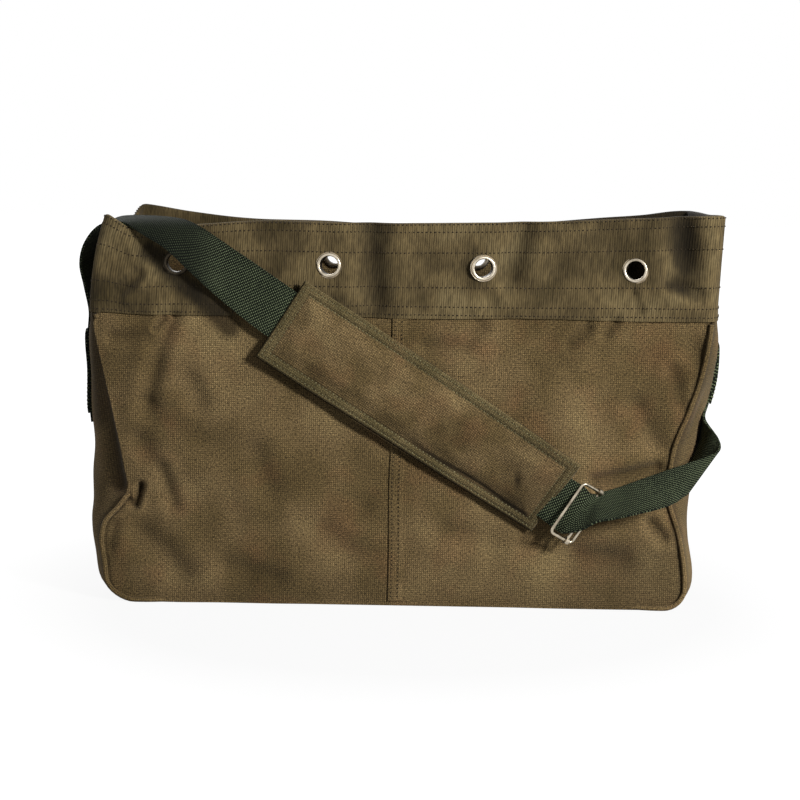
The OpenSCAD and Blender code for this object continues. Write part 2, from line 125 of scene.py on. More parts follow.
def weighted(tree, a, weight, b):        # a times its weight, plus b
    return addNode(tree, "ShaderNodeMath", {"operation": "MULTIPLY_ADD", 1: weight}, {0: a, 2: b}).outputs[0]


def ranged(tree, value, low, high, start=0.0, stop=1.0):      # start to stop becomes low to high
    return addNode(tree, "ShaderNodeMapRange", {"From Min": start, "From Max": stop, "To Min": low, "To Max": high},
                   {"Value": value}).outputs[0]


def ramp(tree, value, places, colours):
    return addNode(tree, "ShaderNodeValToRGB", links={"Fac": value}, stops=list(zip(places, colours))).outputs["Color"]


def tinted(tree, base, colour, amount):
    return addNode(tree, "ShaderNodeMixRGB", {"Color2": linear(colour)}, {"Fac": amount, "Color1": base}).outputs[0]


def toned(tree, base, tone):
    return addNode(tree, "ShaderNodeMixRGB", {"blend_type": "MULTIPLY", "Fac": 1.0},
                   {"Color1": base, "Color2": tone}).outputs[0]


def clothUv(tree):
    return addNode(tree, "ShaderNodeUVMap", {"uv_map": "cloth"}).outputs[0]


def objectPlace(tree):
    return addNode(tree, "ShaderNodeTexCoord").outputs["Object"]


def pointMark(tree, name):   # value kept on the mesh's points
    return addNode(tree, "ShaderNodeAttribute", {"attribute_name": name}).outputs["Fac"]


def matt(rough, specular, sheen=0.0, sheenRough=0.5):
    return {"Roughness": rough, "Specular IOR Level": specular, "Sheen Weight": sheen, "Sheen Roughness": sheenRough}


def coat(tree, base, height, strength, depth, settings, links=None):      # depth of the bumps in mm
    bump = addNode(tree, "ShaderNodeBump", {"Strength": strength, "Distance": depth / 1000}, {"Height": height})
    sources = dict(links or {}, **{"Base Color": base, "Normal": bump.outputs[0]})
    shader = addNode(tree, "ShaderNodeBsdfPrincipled", settings, sources)
    addNode(tree, "ShaderNodeOutputMaterial", links={"Surface": shader.outputs[0]})


# Cotton canvas, plain woven and garment washed: matt, a fine grain of threads, dye worn in soft brown and olive clouds
canvasLook = dict(thread=1.5, fleck=1.7, fine=0.9, cloud=75, stain=28,    # mm; threads drawn coarser, real ones are 0.6
                  clouds=["#473a22", "#58492e", "#655438", "#736242"],
                  rust="#6a4c32", valley="#241c0f", faded="#62603f")


def canvasMaterial(name, look, dim=1.0):
    material, tree = newMaterial(name)
    uv, place = clothUv(tree), objectPlace(tree)
    warp, weft = [wave(tree, way, look["thread"], uv, 0.9, 0.4) for way in "XY"]
    weave = combined(tree, "MULTIPLY", warp, weft)
    fleck = combined(tree, "ADD", longNoise(tree, look["fleck"], look["fine"], uv, 1.5),
                     longNoise(tree, look["fine"], look["fleck"], uv, 1.5))
    cloud = noise(tree, look["cloud"], place, 3, 0.55)
    base = ramp(tree, cloud, (0.3, 0.44, 0.55, 0.7), look["clouds"])
    rust = noise(tree, look["stain"], mapped(tree, place, Location=(3.1, 1.7, 0.4)), 2)
    base = tinted(tree, base, look["rust"], ranged(tree, rust, 0.0, 0.35, 0.52, 0.75))
    base = tinted(tree, base, look["faded"], pointMark(tree, "faded"))
    base = toned(tree, base, ranged(tree, fleck, 0.42 * dim, 1.78 * dim, 0.7, 1.3))
    base = toned(tree, base, ranged(tree, weave, 0.76, 1.62))
    # painted shade: the cloth darkens towards a dark brown where the points' painted shade mark is set
    base = tinted(tree, base, look["valley"], pointMark(tree, "hollow"))
    coat(tree, base, weighted(tree, fleck, 0.8, weave), 0.5, 0.5, matt(0.94, 0.12, 0.05))
    return material


# Ribbed cotton tape cloth of the mouth band: cords under the weave stand up as fine upright ribs that catch the light
bandLook = dict(rib=1.6, cord=1.9, cordLength=9, cloud=42, clouds=["#3a311d", "#493e28", "#594c32", "#66593d"],
                valley="#120e07")


def bandMaterial(name, look):
    material, tree = newMaterial(name)
    uv, place = clothUv(tree), objectPlace(tree)
    ribs = wave(tree, "X", look["rib"], uv, 1.2, 0.15)
    cords = longNoise(tree, look["cord"], look["cordLength"], uv, 2.5, 0.6)
    cloud = noise(tree, look["cloud"], place, 2.5)
    base = ramp(tree, cloud, (0.32, 0.43, 0.52, 0.68), look["clouds"])
    both = weighted(tree, ribs, 0.3, cords)
    base = toned(tree, base, ranged(tree, both, 0.5, 1.52, 0.4, 0.9))
    # painted shade: the band darkens towards a near black where the points' painted shade mark is set
    base = tinted(tree, base, look["valley"], pointMark(tree, "hollow"))
    coat(tree, base, both, 0.6, 0.5, matt(0.92, 0.14, 0.05))
    return material


# Cotton webbing in twill weave: dark olive green, slanting rows of raised dots, paler where the yarn tops are rubbed
webLook = dict(row=1.9, dot=1.5, slant=58, deep="#070a07", body="#1f251b", top="#6c7658", cloud=40)


def webMaterial(name, look):
    material, tree = newMaterial(name)
    turned = mapped(tree, clothUv(tree), Rotation=(0, 0, math.radians(look["slant"])))
    weave = combined(tree, "MULTIPLY", wave(tree, "Y", look["row"], turned, 0.5, 0.3),
                     wave(tree, "X", look["dot"], turned, 0.7, 0.4))
    cloud = noise(tree, look["cloud"], objectPlace(tree), 3)
    base = ramp(tree, weighted(tree, cloud, 0.5, weave), (0.2, 0.5, 1.0), (look["deep"], look["body"], look["top"]))
    # painted shade: the webbing darkens towards its deepest colour where the points' painted shade mark is set
    base = tinted(tree, base, look["deep"], pointMark(tree, "hollow"))
    coat(tree, base, weave, 0.7, 0.6, matt(0.92, 0.1, 0.015, 0.4))
    return material


# Nickel-plated brass and drawn steel wire: pale warm metal, lightly clouded, with small rubbed marks
def metalMaterial(name, pale, dull, rough):
    material, tree = newMaterial(name)
    place = objectPlace(tree)
    base = ramp(tree, noise(tree, 6, place, 4), (0.3, 0.6), (dull, pale))
    grain = noise(tree, 1.2, place, 2)
    gloss = ranged(tree, grain, rough - 0.08, rough + 0.14)
    coat(tree, base, grain, 0.12, 0.2, {"Metallic": 1.0}, {"Roughness": gloss})
    return material


# Twisted cotton thread, pulled into the cloth: dull, darker than the cloth where it sinks
def threadMaterial(name, dark, pale):
    material, tree = newMaterial(name)
    twist = noise(tree, 1.5, objectPlace(tree), 2)
    coat(tree, ramp(tree, twist, (0.35, 0.65), (dark, pale)), twist, 0.4, 0.2, matt(0.8, 0.2))
    return material


canvas = canvasMaterial("washed_cotton_canvas", canvasLook)
padCanvas = canvasMaterial("washed_cotton_canvas_pad", dict(canvasLook, cloud=38, faded="#45442c"))
facingCloth = canvasMaterial("cotton_facing", canvasLook, 0.8)
# the pad sleeve's lining, drawn at 0.3 brightness as painted shade
shadedLiningCloth = canvasMaterial("dark_cotton_lining", canvasLook, 0.3)
bandCloth = bandMaterial("ribbed_cotton_tape_cloth", bandLook)
webbing = webMaterial("twill_cotton_webbing", webLook)
nickel = metalMaterial("nickel_plated_brass", "#c9beab", "#9a8f7c", 0.32)
tarnishAndShade = metalMaterial("tarnished_brass", "#3a342a", "#241f18", 0.5)
wire = metalMaterial("drawn_steel_wire", "#b9ae9a", "#8b816f", 0.3)
darkThread = threadMaterial("dark_cotton_thread", "#1f180d", "#372d1e")
oliveThread = threadMaterial("olive_cotton_thread", "#575238", "#857e5c")
print("materials made")


# Soft shapes are lofted from these grids, in mm; rows run upwards and columns to the right as seen from outside
def makePiece(name, points, faces, uv, material, vertexOf=None, hollow=None, smoothAngle=50, faded=None):
    mesh = bpy.data.meshes.new(name)
    corner = np.array([i for face in faces for i in face])
    named = corner if vertexOf is None else vertexOf[corner]
    sizes = [len(face) for face in faces]
    split, start = [], 0
    for size in sizes:
        split.append(named[start:start + size].tolist())
        start += size
    mesh.from_pydata((np.asarray(points, float) / 1000).tolist(), [], split)
    layer = mesh.uv_layers.new(name="cloth")
    layer.data.foreach_set("uv", (np.asarray(uv, float)[corner] / 1000).astype(np.float32).ravel())
    # the painted shade mark holds painted shade: darkening where shade falls in creases, seams, folds and recesses
    for label, values in (("hollow", hollow), ("faded", faded)):
        if values is not None:
            mark = mesh.attributes.new(label, "FLOAT", "POINT")
            mark.data.foreach_set("value", np.asarray(values, np.float32).ravel())
    mesh.materials.append(material)
    mesh.polygons.foreach_set("use_smooth", [True] * len(mesh.polygons))
    mesh.update()
    mesh.set_sharp_from_angle(angle=math.radians(smoothAngle))
    piece = bpy.data.objects.new(name, mesh)
    bpy.context.scene.collection.objects.link(piece)
    return piece


def runOf(points):           # distance run along a line of points
    return np.r_[0, np.cumsum(np.linalg.norm(np.diff(points, axis=0), axis=1))]


def quads(grid):             # faces between the numbered points of a grid
    return np.stack([grid[:-1, :-1].ravel(), grid[:-1, 1:].ravel(), grid[1:, 1:].ravel(), grid[1:, :-1].ravel()], 1)


def normals(grid):
    across = np.gradient(grid, axis=1)
    upward = np.gradient(grid, axis=0)
    n = np.cross(across, upward)
    return n / np.maximum(np.linalg.norm(n, axis=2, keepdims=True), 1e-9)


def shell(name, outer, inner, uv, material, hollow=None, faded=None):
    n, m = outer.shape[:2]
    k = n * m
    a = (np.arange(n - 1)[:, None] * m + np.arange(m - 1)[None, :]).ravel()
    faces = [np.stack([a, a + 1, a + m + 1, a + m], 1), np.stack([a + k, a + m + k, a + m + 1 + k, a + 1 + k], 1)]
    j = np.arange(m - 1)
    t = (n - 1) * m + j
    i = np.arange(n - 1) * m
    e = i + m - 1
    faces += [np.stack([j + 1, j, k + j, k + j + 1], 1), np.stack([t, t + 1, k + t + 1, k + t], 1),
              np.stack([i, i + m, k + i + m, k + i], 1), np.stack([e + m, e, k + e, k + e + m], 1)]
    points = np.concatenate([outer.reshape(-1, 3), inner.reshape(-1, 3)])
    marks = [None if a is None else np.concatenate([a.ravel(), a.ravel() * 0]) for a in (hollow, faded)]
    flatUv = uv.reshape(-1, 2)
    return makePiece(name, points, np.concatenate(faces).tolist(), np.concatenate([flatUv, flatUv]), material,
                     hollow=marks[0], faded=marks[1])


def thick(name, mid, thickness, uv, material, hollow=None):
    n = normals(mid) * thickness / 2
    return shell(name, mid + n, mid - n, uv, material, hollow)


def loop(name, sections, uv, material, hollow=None):     # closed section swept round a closed path: (section, path, 3)
    k, m = sections.shape[:2]
    grid = np.arange((k + 1) * (m + 1)).reshape(k + 1, m + 1)
    vertexOf = ((np.arange(k + 1) % k)[:, None] * m + (np.arange(m + 1) % m)[None, :]).ravel()
    return makePiece(name, sections.reshape(-1, 3), quads(grid).tolist(), uv.reshape(-1, 2), material, vertexOf,
                     None if hollow is None else hollow.ravel())


def through(knots):          # smooth curve through (place, value) knots
    x, v = np.array(knots, float).T
    slope = np.gradient(v, x)

    def at(place):
        place = np.clip(np.asarray(place, float), x[0], x[-1])
        i = np.clip(np.searchsorted(x, place) - 1, 0, len(x) - 2)
        h = x[i + 1] - x[i]
        t = (place - x[i]) / h
        return ((2 * t**3 - 3 * t**2 + 1) * v[i] + (t**3 - 2 * t**2 + t) * h * slope[i]
                + (3 * t**2 - 2 * t**3) * v[i + 1] + (t**3 - t**2) * h * slope[i + 1])
    return at


def softNoise(x, z, size, seed):      # smooth waves of about that size in mm, -1 to 1
    state = np.random.RandomState(seed)
    total = 0
    for _ in range(14):
        turn, phase = state.uniform(0, 2 * math.pi), state.uniform(0, 2 * math.pi)
        length = size * state.uniform(0.75, 1.6)
        total = total + np.sin(2 * math.pi * (x * math.cos(turn) + z * math.sin(turn)) / length / 1.6 + phase)
    return total / 5.3


def lineNoise(x, size, seed):
    return softNoise(x, 0 * x, size, seed)


def ease(t):
    t = np.clip(t, 0, 1)
    return t * t * (3 - 2 * t)


def bell(t):
    return np.exp(-t**2)


# Shape of the standing bag, in mm: seams drawn in unevenly, side walls swollen, the mouth leaning to the right
bag = dict(
    halfWidth=220, halfDepth=60, height=286, bandLow=215, wallTop=229, corner=17, seamY=58.2, cloth=1.4, swell=6,
    frontLeft=[(0, -214), (12, -218.5), (27.6, -220.5), (51, -222.5), (61, -219.5), (71, -210.5), (82.5, -203),
               (101.5, -205), (136.5, -212), (171.5, -219.4), (211.5, -227.1), (245, -225.6), (268, -221.5),
               (286, -216.4), (300, -212)],
    frontRight=[(0, 211.6), (30.8, 210.6), (55.8, 205.7), (83.8, 197.2), (103.8, 197.4), (120.8, 200.1), (148.8, 210.1),
                (173.8, 217.7), (206.8, 223.1), (218.8, 223.9), (300, 229.5)],
    backLeft=[(0, -212), (24.5, -214.9), (56.5, -212.4), (106.5, -206.3), (156.5, -211.1), (211.5, -220.1),
              (286, -203.6), (300, -199)],
    backRight=[(0, 211.6), (31.8, 212.1), (63.8, 208.6), (113.8, 204.7), (163.8, 212.9), (218.8, 220.9), (300, 221.5)],
    midLeft=[(0, -221.4), (8, -224.6), (36.5, -231.1), (73.5, -234.7), (124.5, -235.1), (166.5, -235.8),
             (200.5, -234.9), (211.5, -233.1), (300, -214.5)],
    midRight=[(0, 216), (12, 220), (51, 217.5), (90, 218.5), (133.8, 225), (173.8, 230.7), (207.8, 232.1),
              (218.8, 230.9), (300, 227.5)],
    rimFront=[(-240, 0), (-219, 0.8), (-200, -9), (-175, -8), (-151, -6), (-107, -2.5), (-56, -2.8),
              (-9, -2.4), (54, -1), (112, 1), (170, 4), (228, 6.7), (240, 7)],
    rimBack=[(-240, 4), (-208, 4), (-170, -1.5), (-129, -6), (-60, -7.5), (0, -10.5),
             (60, -10), (114, -5), (150, -1.5), (185, 1.5), (210, 5), (240, 5)],
)
seam = {key: through(bag[key]) for key in ("frontLeft", "frontRight", "backLeft", "backRight", "midLeft", "midRight")}
rim = {key: through(bag[key]) for key in ("rimFront", "rimBack")}


def cornerCut(z):
    r = bag["corner"]
    return np.where(z < r, r - np.sqrt(np.maximum(r**2 - (r - np.minimum(z, r))**2, 0)), 0)


def seamX(face, side, z):
    return seam[face + side](z) + (cornerCut(z) if side == "Left" else -cornerCut(z))


def rolled(z):               # where the left front edge is rolled over, above its pinch
    return ease((z - 76) / 10) * ease((218 - z) / 20)


def gussetX(side, y, z):
    y, z = np.broadcast_arrays(np.asarray(y, float), np.asarray(z, float))
    t = (y + bag["seamY"]) / 2 / bag["seamY"]
    edge = seamX("front", side, z) * (1 - t) + seamX("back", side, z) * t
    middle = seam["mid" + side](z) + (cornerCut(z) if side == "Left" else -cornerCut(z))
    bow = middle - (seamX("front", side, z) + seamX("back", side, z)) / 2
    wrinkle = softNoise(y, z, 34, 5 if side == "Left" else 9) * 1.6 * ease((58 - np.abs(y)) / 20)
    wrinkle = wrinkle * ease(z / 30) * ease((225 - z) / 25)
    groove = 5 * bell((y + 50) / 6) * rolled(z) if side == "Left" else 0
    return edge + bow * np.clip(1 - np.abs(y / bag["seamY"])**2.4, 0, 1) + wrinkle + groove


# Creases of the front cloth: points (x, z), how deep and how wide in mm; a single point is a round dip, below zero a
# ridge; steep creases also get painted shade
frontCreases = [
    ([(130, 43), (162, 38)], 3, 9), ([(183, 66), (193, 54)], 3.6, 4.5), ([(132, 209), (120, 198)], 2.8, 4),
    ([(152, 214), (146, 205)], 2.7, 4), ([(211, 194)], 3, 10), ([(54, 209), (43, 195), (16, 193)], 2.7, 6),
    ([(-27, 284), (-23, 228)], 7, 10), ([(83, 283), (80, 266), (74, 247)], 7, 9), ([(199, 284), (201, 250)], 9, 10),
    ([(164, 235), (171, 222)], 2.5, 2.6), ([(-109, 116), (-97, 88)], 2.3, 9), ([(-58, 59), (-38, 41)], 1.9, 10),
    ([(32, 59), (62, 53)], 2.1, 9), ([(-128, 28), (-93, 20)], 2.3, 8), ([(170, 153), (187, 123)], 2.8, 7),
    ([(196, 179), (203, 154)], 2.7, 5), ([(141, 97), (165, 102), (186, 107)], 4.8, 5),
    ([(-171, 213), (-180, 187), (-188, 152)], 3.6, 6), ([(-213, 197), (-188, 196)], 2.6, 5), ([(-188, 143)], 3.6, 8),
    ([(-156, 165), (-149, 151)], 3.4, 8), ([(-178, 100), (-169, 74)], 2.8, 5),
    ([(-204, 78), (-197, 72), (-193, 87)], 5, 2.6), ([(-193, 51), (-178, 41), (-165, 23)], 4.2, 10),
    ([(-213, 56), (-217, 41)], 2.5, 5), ([(-145, 123), (-120, 114)], 2.2, 12), ([(-209, 232), (-195, 249)], 3.4, 4),
    ([(-201, 226), (-187, 245)], -2.4, 4.5), ([(-217, 252), (-207, 261)], 2.2, 6), ([(-186, 106), (-194, 122)], 2.2, 7),
    ([(-182, 203), (-176, 212)], 2.4, 2.2), ([(-170, 225), (-159, 232)], 2.5, 7), ([(190, 242), (212, 233)], 4.5, 4.5),
    ([(58, 236), (62, 225)], 2.2, 5), ([(111, 248)], 2.2, 10), ([(141, 277), (158, 254)], 1.8, 9),
    ([(128, 34), (184, 25)], 4, 16)]
backCreases = [
    ([(-150, 210), (-120, 150)], 1.8, 7), ([(120, 205), (150, 160)], 1.8, 6), ([(-190, 90), (-150, 70)], 1.8, 6),
    ([(180, 100), (150, 60)], 1.8, 7), ([(10, 270), (12, 232)], 2.0, 12), ([(-110, 275), (-106, 240)], 1.6, 10),
    ([(70, 120), (110, 95)], 1.4, 9), ([(-60, 60), (-20, 40)], 1.4, 9), ([(190, 240)], 2, 10), ([(-185, 190)], 1.6, 11)]


def creaseDepth(x, z, creases, sharp=False):       # sharp: how steep instead of how deep
    total = 0
    for points, depth, width in creases:
        if len(points) == 1:
            near = np.hypot(x - points[0][0], z - points[0][1])
        else:
            near = 1e9
            for (ax, az), (bx, bz) in zip(points[:-1], points[1:]):
                t = np.clip(((x - ax) * (bx - ax) + (z - az) * (bz - az)) / ((bx - ax)**2 + (bz - az)**2), 0, 1)
                near = np.minimum(near, np.hypot(x - ax - t * (bx - ax), z - az - t * (bz - az)))
        shape = bell(near / width) - 0.3 * bell((near - 2.0 * width) / width)      # with a low ridge beside it
        total = total + depth / (width if sharp else 1) * shape
    return total


def push(x, z, front):       # how far the front or back cloth lies in from its plain form
    creases, seed = (frontCreases, 11) if front else (backCreases, 23)
    return (creaseDepth(x, z, creases) + 1.0 * softNoise(x, z, 42, seed) * ease(z / 40)
            + 0.45 * softNoise(x, z, 17, seed + 1) * ease(z / 30))


# Painted shade on the front cloth: points (x, z), how dark from 0 to 1 and how wide in mm; three darken folds of the
# band, and one beside the webbing is a painted shadow of it
frontPaintedShade = [([(199, 290), (202, 250)], 0.6, 12), ([(184, 243), (210, 234)], 0.3, 6),
              ([(-26, 290), (-22, 230)], 0.35, 11),
              ([(-186, 260), (-178, 254), (-159, 235), (-136, 215), (-128, 206)], 1.1, 9)]


def paintedShadeOf(x, z, front):   # painted shade in the creases, darker where they are steeper, and on the front the painted shade listed above
    paintedShade = creaseDepth(x, z, frontCreases if front else backCreases, True) * 0.42
    if front:
        paintedShade = paintedShade + creaseDepth(x, z, [(points, dark * wide, wide) for points, dark, wide in frontPaintedShade], True)
    return np.clip(paintedShade, 0, 0.85)


def panelY(x, z, front):
    face = "front" if front else "back"
    xl, xr = seamX(face, "Left", z), seamX(face, "Right", z)
    f = np.clip(2 * (x - xl) / (xr - xl) - 1, -1, 1)
    rise = np.where(z < bag["bandLow"], np.sin(np.pi * np.clip((z - 2) / (bag["bandLow"] - 2), 0, 1)**0.75), 0)
    out = bag["seamY"] + bag["swell"] * rise * (1 - np.abs(f)**5)
    out = out - push(x, z, front) * ease((1 - np.abs(f)) / 0.06 + 0.25)
    return -out if front else out


def depthShare(y):           # 0 at the front, 1 at the back
    return (y + bag["halfDepth"]) / (2 * bag["halfDepth"])


def liftOf(x, y, z):         # the rim's own rise and sag, fading out below the band
    t = np.clip(depthShare(y), 0, 1)
    lift = rim["rimFront"](x) * (1 - t) + rim["rimBack"](x) * t
    lift = lift - 13 * ease((57 - y) / 28) * ease((y + 57) / 24) * ease((-x - 180) / 22)
    lift = lift - 1 * bell(y / 30) * ease((x - 190) / 25)
    still = np.where(t > 0.5, 165, 205)                          # no lift below this height
    return lift * np.clip((z - still) / (bag["height"] - still), 0, 1.1)


def mouth(x, y, z):          # plain place in the mouth's layers to where the cloth really is
    x, y, z = np.broadcast_arrays(np.asarray(x, float), np.asarray(y, float), np.asarray(z, float))
    wide, low = bag["halfWidth"], bag["bandLow"]
    t = depthShare(y)
    middle = np.clip(1 - np.abs(y / bag["halfDepth"])**2.2, 0, 1)
    ends = []
    for side, out in (("Left", -1.8), ("Right", 1.8)):           # the band lies outside the panels' seams
        front, back = seam["front" + side](z), seam["back" + side](z)
        end = (front + out) * (1 - t) + (back + out) * t
        ends.append(end + (seam["mid" + side](z) - (front + back) / 2) * middle)
    high = (z - low) / (bag["height"] - low)
    lean = (2.5 - 14.5 * np.clip(t, 0, 1)) * (z - low) / (bag["height"] - low)
    f = x / wide
    newX = x + lean + np.where(f < 0, ends[0] + wide - lean, ends[1] - wide - lean) * np.abs(f)**4
    side = ease((np.abs(y) - 20) / 40)
    inward = np.where(y < 0, push(newX, z, True), -push(newX, z, False)) * side
    gape = np.where(y < 0, -1.0, 1.5) * ease(high) * np.cos(np.clip(f, -1, 1) * np.pi / 2) * side
    return np.stack([newX, y + inward + gape, z + liftOf(newX, y, z)], -1)


def faceSurface(x, z, front):        # place on the front or back panel, with the rim's lift
    y = np.full_like(x, -bag["halfDepth"] if front else bag["halfDepth"])
    return np.stack([x, panelY(x, z, front), z + liftOf(x, y, z)], -1)


corners = np.linspace(-90, 0, 9)
lowLevels = bag["corner"] * (1 + np.sin(np.radians(corners)))
levels, fineLevels = [np.concatenate([lowLevels, np.linspace(bag["corner"], bag["wallTop"], count)[1:]])
                      for count in (82, 150)]


def slump(piece):            # the cloth draws in at the waist of the bag's ends, more at the left front pinch
    place = np.empty(len(piece.data.vertices) * 3, np.float32)
    piece.data.vertices.foreach_get("co", place)
    x, y, z = (place.reshape(-1, 3) * 1000).T
    waist = 3.4 * bell((z - 128) / 46) + 2.6 * bell((z - 78) / 24) * (x < 0) * (y < 0)
    waist = waist + 1.3 * lineNoise(z, 60, 81) * ease(z / 30) * ease((212 - z) / 40)
    place[2::3] = np.maximum(place[2::3], 0)
    place[1::3] -= waist * ease((np.abs(x) - 95) / 110) * np.clip(y / 58, -1.1, 1.1) / 1000
    piece.data.vertices.foreach_set("co", place)
    piece.data.update()


def finishPiece(piece, body, slot, *nodes):
    if body == "bag" and slot == "canvas":
        slump(piece)
    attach(piece, body)
    if nodes:
        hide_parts(*nodes)
    return piece


# Front and back panels in two halves, cut at the centre seam; the left front edge curls over above its pinch
panels = dict(step=dict(front=1.5, back=2.6), seamAt=-4, under=-0.5, curl=[(-0.3, 7), (-0.8, 3.8), (-0.4, 1.3)])
for face in ("front", "back"):
    front = face == "front"
    for side in ("Left", "Right"):
        z = (fineLevels if front else levels)[:, None]
        under = panels["under"] + 3 * ease((z - 206) / 8)        # drawn in behind the band
        centre = np.full_like(z, panels["seamAt"] * (1 if front else -1))
        if side == "Left":
            start, stop = seamX(face, "Left", z) + under, centre
        else:
            start, stop = centre, seamX(face, "Right", z) - under
        f = np.linspace(0, 1, int(212 / panels["step"][face]))[None, :]
        x = start + (stop - start) * f
        zz = np.broadcast_to(z, x.shape)
        grid = faceSurface(x, zz, front)
        fromEdge = np.minimum(x - seamX(face, "Left", z), seamX(face, "Right", z) - x)
        # painted shade along the welt's inner edge, and on the front painted shade darker towards the bottom and the
        # lower right
        alongWelt = 0.6 * bell((fromEdge - 3.9) / 1.2) * (1 - rolled(zz) * (side == "Left") * front)
        paintedDarkening = 0.3 * ease((x - 60) / 110) * ease((75 - zz) / 45) + 0.12 * ease((40 - zz) / 40) if front else 0
        hollow = np.clip(paintedShadeOf(x, zz, front) + alongWelt + paintedDarkening, 0, 0.8)
        if front and side == "Left":
            curled = 0.05 + 0.95 * rolled(z[:, 0])[:, None]
            edges = [grid[:, 0] + np.array([dx, dy, 0]) * curled for dx, dy in panels["curl"]]
            grid = np.concatenate([np.stack(edges, 1), grid], 1)
            hollow = np.concatenate([hollow[:, :1]] * 3 + [hollow], 1)
            x = np.concatenate([x[:, :1] - 6, x[:, :1] - 3.5, x[:, :1] - 1.5, x], 1)
        if not front:
            grid, hollow, x = grid[:, ::-1], hollow[:, ::-1], x[:, ::-1]
        uv = np.stack([x + (0 if front else 900), np.broadcast_to(z, x.shape)], -1)
        name = face + "_panel_" + side.lower()
        piece = shell(name + "_cloth", grid, grid - normals(grid) * bag["cloth"], uv, canvas, hollow)
        finishPiece(piece, "bag", "canvas", name)
print("panels made")

# Felled seam down the middle: its folded edge stands up on the left and sinks into the right half
fell = dict(left=-9.7, low=4, top=216, across=[0, 0.25, 1.2, 3, 6, 9, 11.3],
            high=[0.3, 1.15, 1.35, 1.3, 1.2, 0.9, 0.25])


def fellWander(z):
    return 0.35 * lineNoise(z, 30, 3)


for face in ("front", "back"):
    front = face == "front"
    rows = np.linspace(fell["low"], fell["top"], 90)[:, None]
    across, high = np.array(fell["across"]), np.array(fell["high"])
    x = (fell["left"] + across[None, :] + fellWander(rows)) * (1 if front else -1)
    zz = np.broadcast_to(rows, x.shape)
    surface = faceSurface(x, zz, front)
    outward = np.array([0, -1 if front else 1, 0])
    outer = surface + outward * high[None, :, None]
    inner = surface - outward * 0.3
    uv = np.stack([np.broadcast_to(across[None, :] + 300, x.shape), zz], -1)
    piece = shell(face + "_fell_fold", outer, inner, uv, canvas)
    finishPiece(piece, "bag", "canvas", face + "_fell")

# Side gussets turn under at the corner and meet the base
gusset = dict(columns=70, edge=57.9, baseEdge=57.4)
for side in ("left", "right"):
    name = side.capitalize()
    y = np.linspace(-gusset["edge"], gusset["edge"], gusset["columns"])[None, :]
    z = levels[:, None]
    yy, zz = y * (1 - 0.05 * ease((z - 206) / 8)), np.broadcast_to(z, (len(z), gusset["columns"]))
    x = gussetX(name, yy, z)
    grid = np.stack([x, yy, zz + liftOf(x, yy, zz) * 0.6], -1)
    if side == "left":
        grid = grid[:, ::-1]
    climb = np.cumsum(np.r_[0, np.hypot(np.diff(zz[:, 0]), np.diff(x[:, 0]))])
    uv = np.stack([yy + (1500 if side == "left" else 1700), climb[:, None] + 0 * yy], -1)
    # painted shade along both seams, in the groove behind the rolled left front edge, and over the upper front of the
    # left gusset
    paintedShade = 0.55 * bell((gusset["baseEdge"] - np.abs(grid[..., 1])) / 5)
    if side == "left":
        paintedShade = np.maximum(paintedShade, 0.92 * bell((grid[..., 1] + 52) / 8) * rolled(grid[..., 2]))
        paintedShade = np.maximum(paintedShade, 0.7 * ease((grid[..., 2] - 112) / 25) * ease((-20 - grid[..., 1]) / 20))
    piece = thick("gusset_" + side + "_cloth", grid, bag["cloth"], uv, canvas, paintedShade)
    finishPiece(piece, "bag", "canvas", "gusset_" + side)
y = np.linspace(-gusset["baseEdge"], gusset["baseEdge"], gusset["columns"])[:, None]
f = np.linspace(0, 1, 150)[None, :]
xl, xr = gussetX("Left", y, 0 * y), gussetX("Right", y, 0 * y)
x = xl + (xr - xl) * f
sag = 1.4 + 0.9 * np.sin(np.pi * f) * np.cos(np.pi * y / 116) + 0.35 * softNoise(x, y + 0 * x, 40, 31)
grid = np.stack([x, np.broadcast_to(y, x.shape), np.maximum(sag, 0.75)], -1)
uv = np.stack([x + 2000, np.broadcast_to(y, x.shape)], -1)
piece = thick("gusset_base_cloth", grid[::-1], bag["cloth"], uv, canvas)
finishPiece(piece, "bag", "canvas", "gusset_base")
print("gussets and base made")


def sweep(name, path, side, out, section, uvStart, material):     # closed section along an open path (n, 3)
    ring = path[:, None] + side[:, None] * section[None, :, 0, None] + out[:, None] * section[None, :, 1, None]
    n, k = ring.shape[:2]
    points = ring.reshape(-1, 3)
    along, around = runOf(path), runOf(np.r_[section, section[:1]])
    grid = np.arange(n * (k + 1)).reshape(n, k + 1)
    vertexOf = (np.arange(n)[:, None] * k + (np.arange(k + 1) % k)[None, :]).ravel()
    uv = np.stack(np.broadcast_arrays(around[None, :] + uvStart, along[:, None]), -1).reshape(-1, 2)
    faces = quads(grid).tolist()
    faces += [grid[0, :-1][::-1].tolist(), grid[-1, :-1].tolist()]
    return makePiece(name, points, faces, uv, material, vertexOf)


